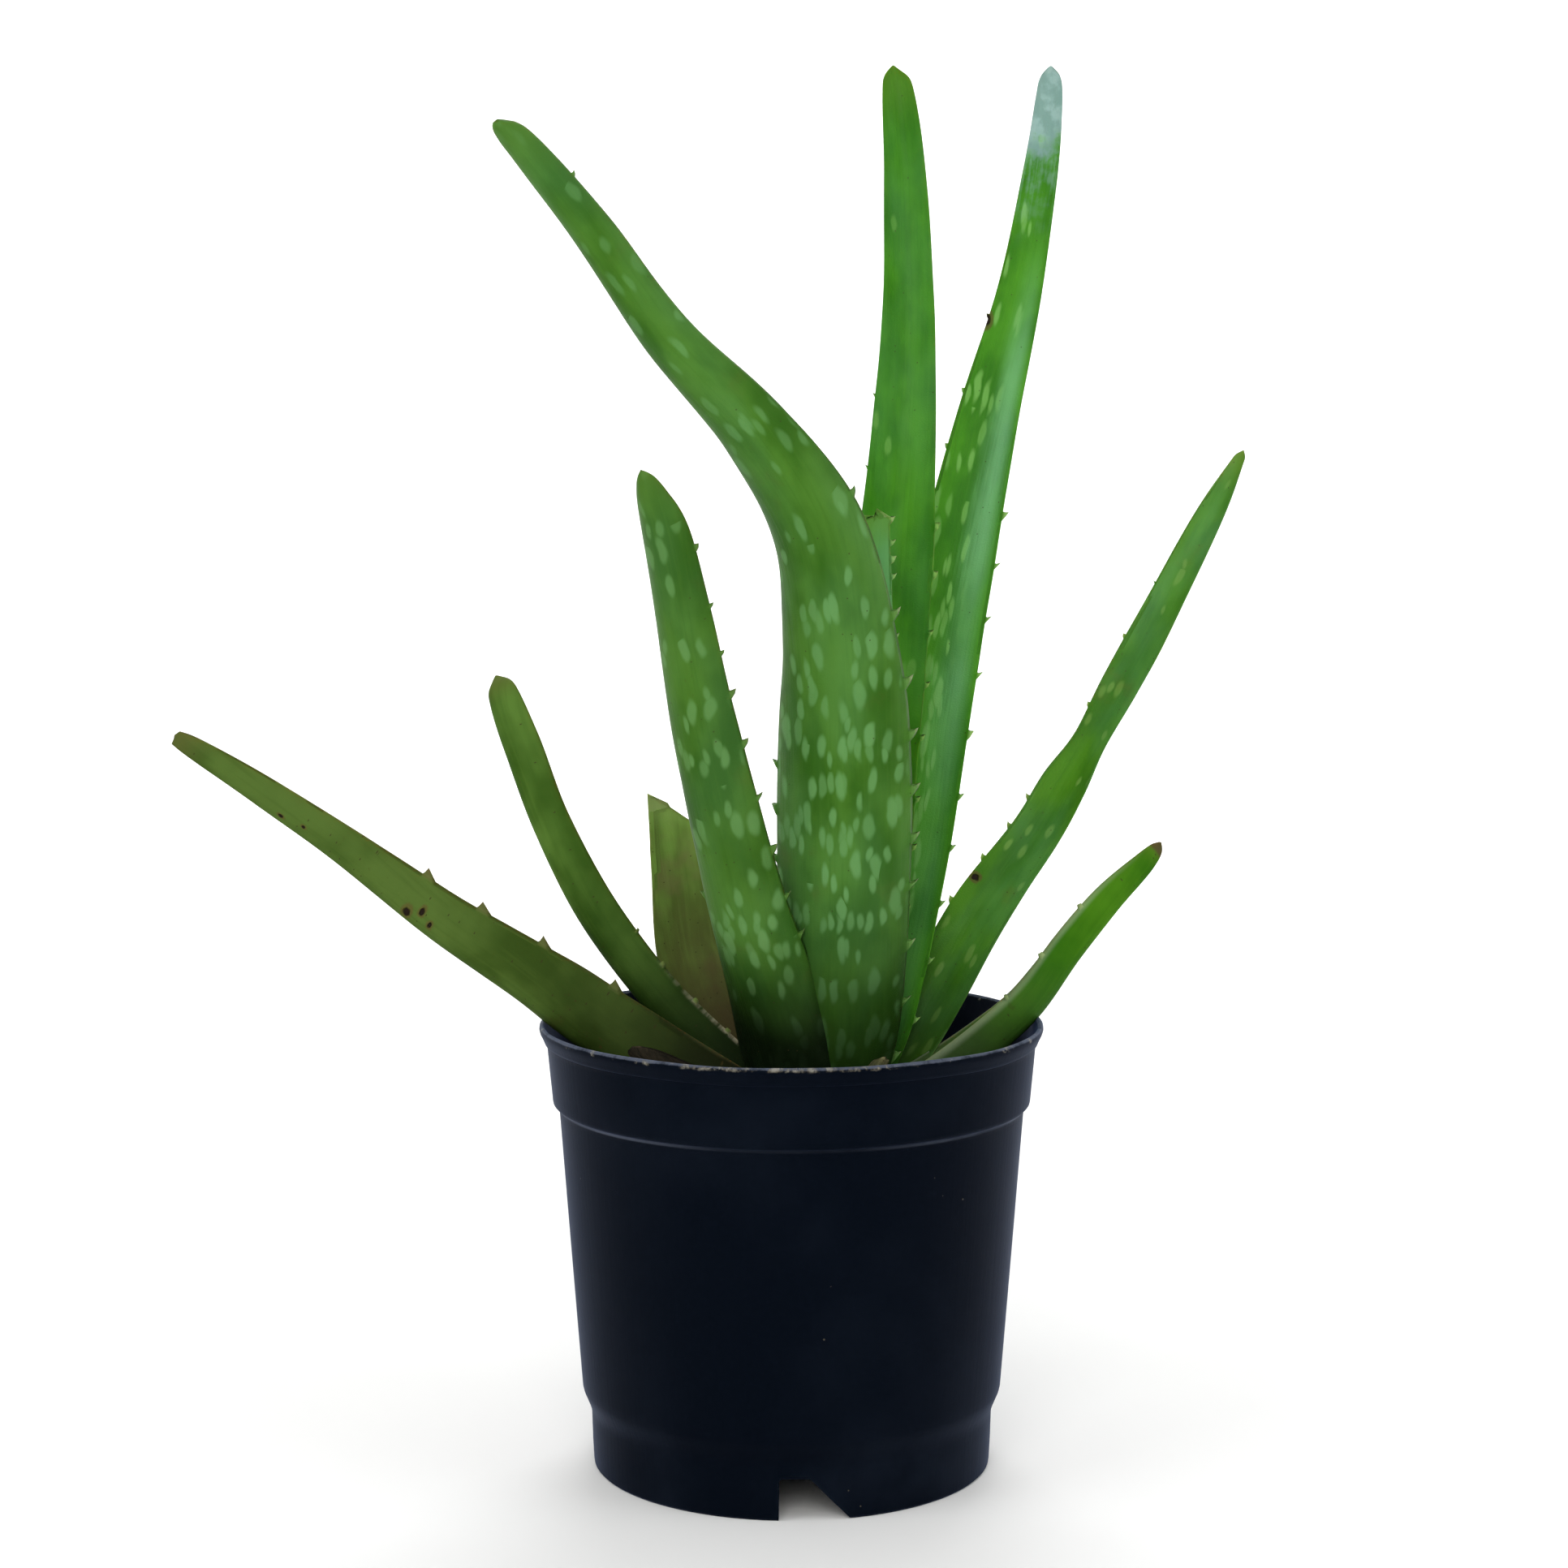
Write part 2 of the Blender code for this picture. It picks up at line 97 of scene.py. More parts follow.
class Paint:
    # a material's node tree, built a node at a time

    def __init__(self, name):
        self.material = bpy.data.materials.new(name)
        self.material.use_nodes = True
        self.tree = self.material.node_tree
        self.shader = self.tree.nodes["Principled BSDF"]

    def node(self, kind, settings=None, values=(), out=0):
        # settings come first, then the value or the link of each socket
        node = self.tree.nodes.new(kind)
        for key, value in (settings or {}).items():
            setattr(node, key, value)
        pairs = values.items() if isinstance(values, dict) else enumerate(values)
        for key, value in pairs:
            if isinstance(value, Wire):
                self.tree.links.new(value.socket, node.inputs[key])
            else:
                node.inputs[key].default_value = value
        return Wire(self, node.outputs[out])

    def blend(self, below, above, share):
        return self.node("ShaderNodeMix", {"data_type": "RGBA"},
                         {0: share, 6: below, 7: above}, out=2)

    def step(self, value, low, high):
        # 0 up to low and 1 past high, or the other way round when low is the larger
        return self.node("ShaderNodeMapRange", {"interpolation_type": "SMOOTHSTEP"},
                         {"Value": value, "From Min": low, "From Max": high})

    def parts(self, vector):
        return [self.node("ShaderNodeSeparateXYZ", None, (vector,), out=i) for i in range(3)]

    def join(self, x, y, z=0.0):
        return self.node("ShaderNodeCombineXYZ", None, (x, y, z))

    def cloud(self, vector, scale, detail=3.0, rough=0.55):
        return self.node("ShaderNodeTexNoise", None, {
            "Vector": vector, "Scale": scale, "Detail": detail, "Roughness": rough})

    def cells(self, vector, scale, scatter=1.0, out=0, flat=True):
        return self.node("ShaderNodeTexVoronoi", {"voronoi_dimensions": "2D" if flat else "3D"},
                         {"Vector": vector, "Scale": scale, "Randomness": scatter}, out=out)

    def spread(self, vector, x, y, z):
        return self.node("ShaderNodeVectorMath", {"operation": "MULTIPLY"},
                         (vector, (x, y, z)))

    def shift(self, vector, x, y, z):
        return self.node("ShaderNodeVectorMath", {"operation": "ADD"}, (vector, (x, y, z)))

    def bump(self, height, distance, strength=1.0):
        return self.node("ShaderNodeBump", None, {
            "Strength": strength, "Distance": distance, "Height": height})

    def set(self, **sockets):
        # finish the shader: short names stand for those of its sockets
        names = {"colour": "Base Color", "rough": "Roughness", "normal": "Normal",
                 "specular": "Specular IOR Level", "glossTint": "Specular Tint",
                 "sheen": "Sheen Weight", "sheenRough": "Sheen Roughness",
                 "sheenTint": "Sheen Tint", "subsurface": "Subsurface Weight",
                 "subsurfaceScale": "Subsurface Scale"}
        for key, value in sockets.items():
            socket = self.shader.inputs[names[key]]
            if isinstance(value, Wire):
                self.tree.links.new(value.socket, socket)
            else:
                socket.default_value = value
        return self.material


# mesh helpers

def editNew(name):
    # name the primitive that was just added and open it for editing
    piece = bpy.context.object
    piece.name = piece.data.name = name
    bpy.ops.object.mode_set(mode="EDIT")
    return piece


def editDone():
    bpy.ops.object.mode_set(mode="OBJECT")


def selectNone():
    bpy.ops.object.select_all(action="DESELECT")


def focus(piece):
    selectNone()
    piece.select_set(True)
    bpy.context.view_layer.objects.active = piece


def applyAll(piece):
    focus(piece)
    for modifier in list(piece.modifiers):
        bpy.ops.object.modifier_apply(modifier=modifier.name)


def settle(piece, smoothAngle=None):
    # put the piece's place into its mesh and shade it
    focus(piece)
    bpy.ops.object.transform_apply(location=True, rotation=True, scale=True)
    if smoothAngle:
        bpy.ops.object.shade_smooth_by_angle(angle=radians(smoothAngle))
    else:
        bpy.ops.object.shade_smooth()


def finishPiece(piece, material, slot, *nodes):
    # nodes: the CAD solids that this piece stands in for
    piece.data.materials.clear()
    piece.data.materials.append(material)
    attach(piece, "root")
    if nodes:
        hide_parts(*nodes)


def coordinates(piece):
    flat = np.empty(len(piece.data.vertices) * 3)
    piece.data.vertices.foreach_get("co", flat)
    return flat.reshape(-1, 3)


def setCoordinates(piece, places):
    piece.data.vertices.foreach_set("co", np.asarray(places, dtype=float).ravel())
    piece.data.update()


def storeVectors(piece, name, rows):
    layer = piece.data.attributes.new(name, "FLOAT_VECTOR", "POINT")
    layer.data.foreach_set("vector", np.asarray(rows, dtype=float).ravel())


def noiseAt(places, scale, seed=0.0):
    return np.array([noise.noise(Vector(p) * scale + Vector((seed, seed, seed)))
                     for p in places])


def ringStack(name, outline, sides, closeEnd=True):
    # a round body: one disc, whose rim is extruded and resized ring by ring along the outline
    selectNone()
    firstRadius, firstHeight = outline[0]
    bpy.ops.mesh.primitive_circle_add(vertices=sides, radius=firstRadius * mm,
                                      location=(0, 0, firstHeight * mm),
                                      fill_type="NGON")
    bpy.ops.object.transform_apply(location=True, rotation=False, scale=False)
    piece = editNew(name)
    bpy.ops.mesh.select_mode(type="EDGE")
    bpy.ops.mesh.select_all(action="SELECT")
    radius, height = firstRadius, firstHeight
    for nextRadius, nextHeight in outline[1:]:
        bpy.ops.mesh.extrude_edges_move(
            TRANSFORM_OT_translate={"value": (0, 0, (nextHeight - height) * mm)})
        grow = nextRadius / radius
        if grow != 1.0:
            bpy.ops.transform.resize(value=(grow, grow, 1.0),
                                     center_override=(0, 0, nextHeight * mm))
        radius, height = nextRadius, nextHeight
    if closeEnd:
        bpy.ops.mesh.edge_face_add()
    bpy.ops.mesh.select_all(action="SELECT")
    bpy.ops.mesh.normals_make_consistent(inside=False)
    editDone()
    return piece


# camera, light and floor

studio = {
    # place in metres, tilt in degrees, lens and sensor in mm
    "cameraPlace": (-0.0018, -0.743, 0.240), "cameraTiltDown": 5.89, "lens": 72.5, "sensor": 36.0,
    # the floor is a wide round sweep that curves up into its own backdrop: radius, height
    "sweep": [(1900, 0), (2150, 14), (2400, 70), (2600, 180), (2760, 350), (2860, 600),
              (2900, 950), (2900, 1700)],
    "sweepSides": 96, "floorTone": 0.86, "skyTone": (1.0, 1.0, 1.0), "skyStrength": 0.55,
    # name: place, what it points at, size, power, colour
    "lamps": {
        "keyFront": ((-0.15, -1.75, 1.15), (0, 0, 0.18), 1.3, 17.0, (1.0, 0.99, 0.96)),
        "fillLeft": ((-1.05, -0.60, 1.05), (0, 0, 0.16), 0.9, 5.0, (0.97, 0.99, 1.0)),
        "fillRight": ((1.10, -0.45, 0.90), (0, 0, 0.16), 0.9, 4.0, (0.95, 0.98, 1.0)),
        "backTop": ((0.10, 1.00, 1.15), (0, 0, 0.16), 0.9, 9.0, (1.0, 1.0, 1.0)),
        "backdrop": ((0.0, 1.30, 1.60), (0, 2.9, 0.45), 1.4, 45.0, (1.0, 1.0, 1.0)),
    },
}


def makeStudio():
    scene = bpy.context.scene
    scene.view_settings.view_transform = "Standard"
    camera = bpy.data.objects.new("camera", bpy.data.cameras.new("camera"))
    scene.collection.objects.link(camera)
    camera.location = studio["cameraPlace"]
    camera.rotation_euler = (radians(90 - studio["cameraTiltDown"]), 0, 0)
    camera.data.lens = studio["lens"]
    camera.data.sensor_width = studio["sensor"]
    camera.data.clip_start = 0.05
    scene.camera = camera

    for name, (place, aim, size, power, colour) in studio["lamps"].items():
        lamp = bpy.data.lights.new(name, "AREA")
        lamp.shape = "DISK"
        lamp.size = size
        lamp.energy = power
        lamp.color = colour
        holder = bpy.data.objects.new(name, lamp)
        scene.collection.objects.link(holder)
        holder.location = place
        towards = Vector(aim) - Vector(place)
        holder.rotation_euler = towards.to_track_quat("-Z", "Y").to_euler()

    world = bpy.data.worlds.new("softSky")
    world.use_nodes = True
    sky = world.node_tree.nodes["Background"]
    sky.inputs["Color"].default_value = (*studio["skyTone"], 1.0)
    sky.inputs["Strength"].default_value = studio["skyStrength"]
    scene.world = world

    floor = ringStack("floor", studio["sweep"], studio["sweepSides"], closeEnd=False)
    focus(floor)
    bpy.ops.object.shade_smooth()
    paint = Paint("paleFloor")
    tone = studio["floorTone"]
    place = paint.node("ShaderNodeTexCoord", out=3)
    grain = paint.cloud(place, 3.0)
    colour = paint.blend((tone, tone, tone, 1), (tone * 0.97, tone * 0.97, tone * 0.96, 1), grain)
    floor.data.materials.append(paint.set(colour=colour, rough=0.85, specular=0.2))
    print("studio ready")


# pot

pot = {
    "sides": 176, "footRadius": 47.6, "wall": 1.4,
    "rimLift": 0.7, "floorHeight": 7.0, "padRadius": 15.0, "padSlope": 4.0, "footWidth": 2.4,
    "notchAngles": (-83.0, 37.0, 157.0), "notchWidth": 17.5, "notchTopWidth": 7.0,
    "notchHeight": 10.0, "notchReach": 14.0,
    "drainAngles": (-23.0, 97.0, 217.0), "drainRadius": 5.0, "drainCircle": 28.0,
    "lipWander": 0.14,       # mm, the mean of how far the lip is off its circle
    "cutterRound": 0.9,      # mm, the radius of the notch cutters' edges
    # the pale scuff colour also serves as the painted highlight under the band
    "plastic": srgb(5, 9, 17), "dusty": srgb(22, 28, 38), "scuffAndHighlight": srgb(84, 90, 104),
    "worn": srgb(170, 166, 152), "mud": srgb(104, 98, 84),
}


def potOutline():
    # from the middle of the floor up the inside, over the lip and down to the foot
    foot, wall = pot["footRadius"], pot["wall"]
    lift, pad, slope = pot["floorHeight"], pot["padRadius"], pot["padSlope"]
    ring = foot - 0.6 - pot["footWidth"]
    inside = [
        (1.0, wall), (pad * 0.6, wall), (pad - 1.4, wall), (pad - 0.5, wall + 0.3),
        (pad + slope - 1.6, lift + wall - 0.7), (pad + slope - 0.6, lift + wall),
        (pad + 9.0, lift + wall), (36.0, lift + wall), (42.5, lift + wall),
        (44.6, lift + wall + 0.5), (46.0, lift + wall + 1.8), (46.5, 11.0), (47.0, 14.0),
        (47.6, 15.8), (48.5, 17.4), (48.8, 19.0), (49.8, 32.0), (51.0, 48.0), (52.3, 65.0),
        (53.6, 82.0), (53.9, 84.2), (54.6, 85.6), (55.3, 86.8), (55.9, 92.0), (56.6, 99.0),
        (57.2, 101.2), (57.7, 102.6), (58.5, 105.0), (58.7, 105.6), (59.1, 105.95),
    ]
    outside = [
        (59.6, 105.9), (59.95, 105.5), (60.0, 104.9), (59.8, 104.2), (59.3, 103.2),
        (58.95, 102.4), (58.75, 101.9), (58.35, 101.6), (58.2, 101.2), (58.1, 100.4),
        (57.9, 98.2), (57.5, 94.0), (57.1, 90.0), (56.9, 87.9), (56.8, 87.4), (56.5, 87.05),
        (56.0, 86.75), (55.65, 86.4), (55.45, 85.9), (55.3, 85.0), (54.95, 81.0), (54.1, 70.0),
        (53.2, 58.0), (52.2, 45.0), (51.2, 32.0), (50.35, 21.0), (50.2, 19.2), (49.95, 18.2),
        (49.4, 16.9), (48.7, 15.2), (48.25, 13.9), (48.05, 12.6), (48.0, 11.0), (47.85, 6.0),
        (foot, 1.2), (foot - 0.1, 0.5), (foot - 0.6, 0.0),
    ]
    under = [
        (ring, 0.0), (ring - 0.1, 0.4), (ring - 0.2, lift - 0.8), (ring - 1.0, lift),
        (36.0, lift), (pad + slope + 1.0, lift), (pad + slope - 0.2, lift - 0.5),
        (pad + 0.6, 0.6), (pad - 0.2, 0.0), (pad * 0.6, 0.0), (1.0, 0.0),
    ]
    return inside + outside + under


def potPlastic():
    paint = Paint("nurseryPlastic")
    place = paint.node("ShaderNodeTexCoord", out=3)
    x, y, height = paint.parts(place)
    broad = paint.cloud(place, 22.0, 4.0)
    fine = paint.cloud(place, 900.0, 2.0)
    # faint upright drag marks left by the mould
    turned = paint.node("ShaderNodeMath", {"operation": "ARCTAN2"}, (y, x))
    drag = paint.cloud(paint.join(turned * 40.0, height * 12.0, 0.0), 1.0, 3.0)
    colour = paint.blend(pot["plastic"], pot["dusty"], paint.step(broad, 0.45, 0.85) * 0.35)
    # painted highlight: a thin pale line along the underside of the band, faint at the front and
    # strong on the sides; dust caught above the collar
    ledgeHighlight = paint.step(height, 0.0878, 0.0873) * paint.step(height, 0.0865, 0.0870)
    lowDust = paint.step(height, 0.024, 0.004) * paint.step(broad, 0.40, 0.70)
    colour = colour.under(pot["dusty"], lowDust * 0.5)
    # painted highlight under the band: weak at the front, strong on the sides of the pot
    sides = 0.08 + 0.75 * paint.step(abs(x), 0.012, 0.045)
    colour = colour.under(pot["scuffAndHighlight"], ledgeHighlight * sides * paint.step(broad, 0.30, 0.60) * 0.8)
    # the lip is rubbed pale in broken patches, with a little dried mix on it
    patches = paint.cloud(paint.join(turned * 9.0, height * 160.0, 3.0), 1.0, 5.0, 0.7)
    lip = paint.step(height + (patches - 0.5) * 0.0008, 0.1060, 0.1064)
    colour = colour.under(pot["scuffAndHighlight"], lip * (0.30 + 0.5 * paint.step(patches, 0.36, 0.52)))
    crust = paint.cloud(place, 420.0, 3.0)
    front = paint.step(x, -0.034, -0.018) * paint.step(x, 0.034, 0.012) * (y * -1.0).over(0.03)
    mud = paint.step(height + (patches - 0.5) * 0.0022, 0.1056, 0.1063) \
        * paint.step(patches + front * 0.10, 0.54, 0.64) * paint.step(crust, 0.38, 0.52)
    colour = colour.under(paint.blend(pot["mud"], pot["worn"], paint.step(crust, 0.45, 0.65)),
                         mud * 0.62)
    # a few pale specks of grit
    grit = paint.step(paint.cells(place, 300.0, flat=False), 0.09, 0.05) \
        * paint.cloud(place, 60.0).over(0.64)
    colour = colour.under(pot["mud"], grit * 0.4)
    rough = 0.42 + broad * 0.14 + mud * 0.4 + grit * 0.3
    relief = drag * 0.5 + fine * 0.25 + (mud + grit) * 1.5
    return paint.set(colour=colour, rough=rough, specular=0.02, glossTint=(0.5, 0.68, 1.0, 1.0),
                     sheen=0.16, sheenRough=0.35, sheenTint=(0.22, 0.34, 0.72, 1.0),
                     normal=paint.bump(relief, 0.00012, 0.6))


def makePot():
    shell = ringStack("pot_shell", potOutline(), pot["sides"])
    # nothing moulded is quite round: the lip wanders by a few tenths
    places = coordinates(shell)
    around = np.arctan2(places[:, 1], places[:, 0])
    wander = 0.10 * np.sin(3 * around + 0.6) + 0.08 * np.sin(7 * around + 2.0)
    nearLip = np.clip((places[:, 2] / mm - 84.0) / 20.0, 0, 1)
    reach = np.hypot(places[:, 0], places[:, 1]) / mm
    shrink = 1 - (pot["lipWander"] + wander) * 0.5 * nearLip / np.maximum(reach, 1.0) * (reach > 40)
    places[:, :2] *= shrink[:, None]
    raised = np.clip((places[:, 2] / mm - 80.0) / 4.0, 0, 1)
    places[:, 2] += mm * (raised * pot["rimLift"] + nearLip * (
        0.10 * np.sin(5 * around + 1.0) + 0.06 * np.sin(11 * around)))
    setCoordinates(shell, places)

    cutters = []
    for degrees in pot["notchAngles"]:
        angle = radians(degrees)
        middle = pot["footRadius"] + 2.0 - pot["notchReach"] / 2
        depth = pot["notchHeight"] + 1.0
        selectNone()
        bpy.ops.mesh.primitive_cube_add(size=1.0)
        block = bpy.context.object
        block.scale = (pot["notchReach"] * mm, pot["notchWidth"] * mm, depth * mm)
        bpy.ops.object.transform_apply(location=False, rotation=False, scale=True)
        for corner in block.data.vertices:
            if corner.co.y > 0 and corner.co.z > 0:
                corner.co.y -= (pot["notchWidth"] - pot["notchTopWidth"]) * mm
        block.location = (middle * cos(angle) * mm, middle * sin(angle) * mm,
                          (pot["notchHeight"] - depth / 2) * mm)
        block.rotation_euler = (0, 0, angle)
        soften = block.modifiers.new("soften", "BEVEL")
        soften.width = pot["cutterRound"] * mm
        soften.segments = 3
        applyAll(block)
        cutters.append(block)
    for degrees in pot["drainAngles"]:
        angle = radians(degrees)
        selectNone()
        bpy.ops.mesh.primitive_cylinder_add(
            vertices=40, radius=pot["drainRadius"] * mm, depth=6.0 * mm,
            location=(pot["drainCircle"] * cos(angle) * mm, pot["drainCircle"] * sin(angle) * mm,
                      (pot["floorHeight"] + pot["wall"] / 2) * mm))
        cutters.append(bpy.context.object)
    for number, cutter in enumerate(cutters):
        bite = shell.modifiers.new(f"bite{number}", "BOOLEAN")
        bite.object = cutter
        bite.solver = "EXACT"
    applyAll(shell)
    for cutter in cutters:
        bpy.data.objects.remove(cutter)
    settle(shell, 32)
    finishPiece(shell, potPlastic(), "pot_plastic", "pot")
    print("pot done:", len(shell.data.polygons), "faces")


# potting mix

mix = {
    "sides": 120, "top": 82.0, "mound": 3.0, "bumps": 1.3, "seed": 11,
    "bitsWithin": 51.0, "bark": 120, "perlite": 46, "crumbs": 210,
    "dark": srgb(34, 26, 20), "brown": srgb(66, 48, 34), "pale": srgb(196, 190, 176),
    "chip": srgb(92, 62, 40), "chipDark": srgb(48, 33, 23),
}


def mixHeight(radius):
    # height of the mound at a distance from the middle, in mm
    rings = [(0, mix["top"] + mix["mound"]), (12, mix["top"] + mix["mound"] * 0.9),
             (26, mix["top"] + mix["mound"] * 0.4), (40, mix["top"]), (53, mix["top"] - 1.0)]
    return float(np.interp(radius, [r for r, _ in rings], [h for _, h in rings]))


def soilMaterial():
    paint = Paint("pottingMix")
    place = paint.node("ShaderNodeTexCoord", out=3)
    lumps = paint.cloud(place, 160.0, 6.0, 0.65)
    grains = paint.cells(place, 520.0, flat=False)
    colour = paint.blend(mix["dark"], mix["brown"], paint.step(lumps, 0.42, 0.68))
    speck = paint.step(grains, 0.22, 0.10) * paint.cloud(place, 240.0).over(0.62)
    colour = colour.under(mix["pale"], speck * 0.55)
    height = lumps + grains * 0.4
    return paint.set(colour=colour, rough=0.93, specular=0.25,
                     normal=paint.bump(height, 0.0012))


def chipMaterial(name, dark, light, scale):
    paint = Paint(name)
    place = paint.node("ShaderNodeTexCoord", out=3)
    grain = paint.cloud(paint.spread(place, 1.0, 1.0, 3.0), scale, 5.0, 0.6)
    colour = paint.blend(dark, light, paint.step(grain, 0.35, 0.65))
    return paint.set(colour=colour, rough=0.9, specular=0.2,
                     normal=paint.bump(grain, 0.0004))


def makeMix():
    lift = pot["floorHeight"] + pot["wall"] + 0.3
    radii = [1.5, 4, 7, 10, 13, 16, 19, 22, 25, 28, 31, 34, 37, 40, 43, 46, 48.5, 50.5, 52]
    outline = [(r, mixHeight(r)) for r in radii]
    outline += [(53.0, mix["top"] - 2.0), (52.2, 70.0), (51.0, 54.0), (49.6, 35.0),
                (48.4, 19.0), (46.5, 14.0), (45.8, lift + 2.5), (43.3, lift), (30.0, lift),
                (pot["padRadius"] + pot["padSlope"] - 1.4, lift), (13.6, 1.7), (1.5, 1.7)]
    bed = ringStack("potting_mix_bed", outline, mix["sides"])
    places = coordinates(bed)
    upper = np.clip((places[:, 2] / mm - 76.0) / 4.0, 0, 1)
    rough = noiseAt(places, 90.0) * 0.6 + noiseAt(places, 260.0, 5.0) * 0.4
    fine = noiseAt(places, 700.0, 9.0)
    inward = 1 - np.clip((np.hypot(places[:, 0], places[:, 1]) / mm - 51.0) / 2.0, 0, 1)
    places[:, 2] += upper * inward * (rough * mix["bumps"] * 2 + fine * 0.7) * mm
    setCoordinates(bed, places)
    settle(bed, 50)
    finishPiece(bed, soilMaterial(), "potting_mix", "potting_mix")

    # loose bits on top: bark chips, perlite and crumbs, each kind joined into one piece
    dice = random.Random(mix["seed"])
    kinds = {
        "bark_chips": (mix["bark"], (1.6, 3.6), (1.0, 0.55, 0.32),
                       chipMaterial("bark", mix["chipDark"], mix["chip"], 500.0)),
        "perlite_grains": (mix["perlite"], (0.8, 1.7), (1.0, 0.9, 0.8),
                           chipMaterial("perlite", srgb(150, 146, 136), srgb(222, 218, 206), 700.0)),
        "mix_crumbs": (mix["crumbs"], (0.7, 2.0), (1.0, 0.8, 0.7), soilMaterial()),
    }
    for name, (count, sizes, shape, material) in kinds.items():
        selectNone()
        bpy.ops.mesh.primitive_ico_sphere_add(subdivisions=1, radius=1.0)
        lump = bpy.context.object
        ball = coordinates(lump)
        bits = []
        for _ in range(count):
            radius = mix["bitsWithin"] * dice.random() ** 0.5
            angle = dice.uniform(0, 2 * pi)
            size = dice.uniform(*sizes)
            spin = Matrix.Rotation(dice.uniform(0, pi), 3, "Z") @ \
                Matrix.Rotation(dice.uniform(-0.5, 0.5), 3, "X") @ \
                Matrix.Rotation(dice.uniform(-0.5, 0.5), 3, "Y")
            jitter = np.array([[dice.uniform(0.72, 1.25)] for _ in ball])
            lumpy = ball * jitter * np.array(shape) * size / 2
            turnedPlaces = lumpy @ np.array(spin.transposed())
            middle = np.array([radius * cos(angle), radius * sin(angle),
                               mixHeight(radius) + size * shape[2] * 0.25])
            bit = lump.copy()
            bit.data = lump.data.copy()
            bpy.context.scene.collection.objects.link(bit)
            setCoordinates(bit, (turnedPlaces + middle) * mm)
            bits.append(bit)
        bpy.data.objects.remove(lump)
        selectNone()
        for bit in bits:
            bit.select_set(True)
        bpy.context.view_layer.objects.active = bits[0]
        bpy.ops.object.join()
        piece = bits[0]
        piece.name = piece.data.name = name
        settle(piece, 40)
        finishPiece(piece, material, "potting_mix")
    print("potting mix done")


# leaves
# lengths in mm, places along a blade in mm from its first path point, shares from 0 to 1;
# across the blade, -1 and 1 are its two margins
#   path: x, y, z and full width from base to tip, at or close to the CAD blade's
#   hollow: where the channelled side faces at the base and at the tip
#   thick, cup: bulge and depth of the channel, as shares of the width
#   tip, slant, round, ragged: the end's width, how it is cut, rounded and torn
#   teeth: margin, first and last place, spacing, size
#   tint: what the skin's red, green and blue are multiplied by
#   shade: cm along at which the painted shade at the base is full and at which it is gone
#   frost, deadTip: cm of blue wax or of dead tissue at the tip
#   scars: share across, share along, radius, how much narrower than long

# what a leaf has unless it says otherwise
usualLeaf = {
    "slant": 0.0, "ragged": 0.0, "teeth": (), "scars": (),
    "tint": (1.0, 1.0, 1.0), "gloss": 0.10, "rough": 0.40, "dry": False,
    "toothBase": 0.68,       # half a tooth's foot, as a share of its size
    "toothStep": 0.34,       # how far its foot stands out, likewise
    "toothLift": 0.0,        # how far its point leans to the hollow side
    "spots": 0.0, "spotGrid": (2.6, 1.15), "spotFade": 0.6, "bloomAndSheen": 0.0, "brown": 0.0,
    "shadeLean": 0.0,        # cm that the painted shade at the base reaches further up one margin
}
# in each skin, the base colour is painted shade, laid on the foot of the blade
green = {"slot": "leaf_green", "dark": (46, 108, 12), "light": (72, 138, 26),
    "spot": (104, 158, 74), "edge": (128, 170, 92), "base": (36, 60, 18), "tip": (92, 136, 44),
    "brown": (104, 88, 40), "tooth": (186, 200, 146)}
spotted = {"slot": "leaf_spotted", "dark": (46, 92, 16), "light": (70, 118, 36),
    "spot": (98, 150, 82), "edge": (90, 134, 62), "base": (22, 44, 10), "tip": (74, 116, 38),
    "brown": (92, 80, 40), "tooth": (186, 200, 146)}
olive = {"slot": "leaf_olive", "dark": (54, 78, 20), "light": (86, 110, 42), "spot": (104, 126, 66),
    "edge": (104, 112, 56), "base": (18, 26, 9), "tip": (98, 96, 44), "brown": (96, 80, 36),
    "tooth": (134, 124, 78)}
tawny = {"slot": "leaf_olive", "dark": (80, 92, 36), "light": (116, 136, 60),
    "spot": (128, 140, 80), "edge": (150, 156, 96), "base": (52, 44, 30), "tip": (128, 140, 72),
    "brown": (112, 96, 60), "tooth": (150, 140, 96)}

leaves = {}
leaves["leaf_stub_centre"] = {
    "path": [(10, 1, 93, 14), (15, 0, 118, 15), (18.5, -1, 157, 14), (18, -4, 195, 12),
        (18.2, -5, 215, 10), (19.2, -6, 227, 7)],
    "hollow": [(0.1, -1.0, 0.0), (0.1, -1.0, 0.0)], "thick": 0.22, "cup": 0.12, "tip": 1.0,
    "slant": 0.2, "round": 0.6, "ragged": 2.2,
    "teeth": [(1, 30, 120, 12, 1.4), (1, 124, 138, 4.5, 1.3), (-1, 30, 122, 13, 1.4),
        (-1, 126, 138, 5.0, 1.4)],
    "skin": green, "seed": 3, "tint": (1.1, 1.1, 1.2),
    "spots": 0.1, "bloomAndSheen": 0.45, "brown": 0.1, "shade": (1.0, 4.0), "specks": 0.2,
}
leaves["leaf_tall_centre"] = {
    "path": [(11, 6, 90, 17), (17, 6, 127, 18.5), (21, 8, 175, 19), (24, 12, 214, 19),
        (26.3, 17, 245, 16), (27.7, 22, 275, 13), (27, 26, 307, 10.5), (25.5, 29, 327, 8),
        (24.5, 30, 334, 4.5)],
    "hollow": [(0.2, -1.0, 0.1), (0.1, -1.0, 0.1)], "thick": 0.24, "cup": 0.16, "tip": 0.4,
    "slant": -0.3, "round": 3.0,
    "teeth": [(1, 22, 150, 14, 1.4), (-1, 30, 120, 15, 1.4), (-1, 132, 180, 17, 0.8)],
    "skin": green, "seed": 7, "tint": (0.86, 0.93, 0.70),
    "spots": 0.10, "bloomAndSheen": 0.08, "shade": (1.0, 6.0), "specks": 0.1,
}
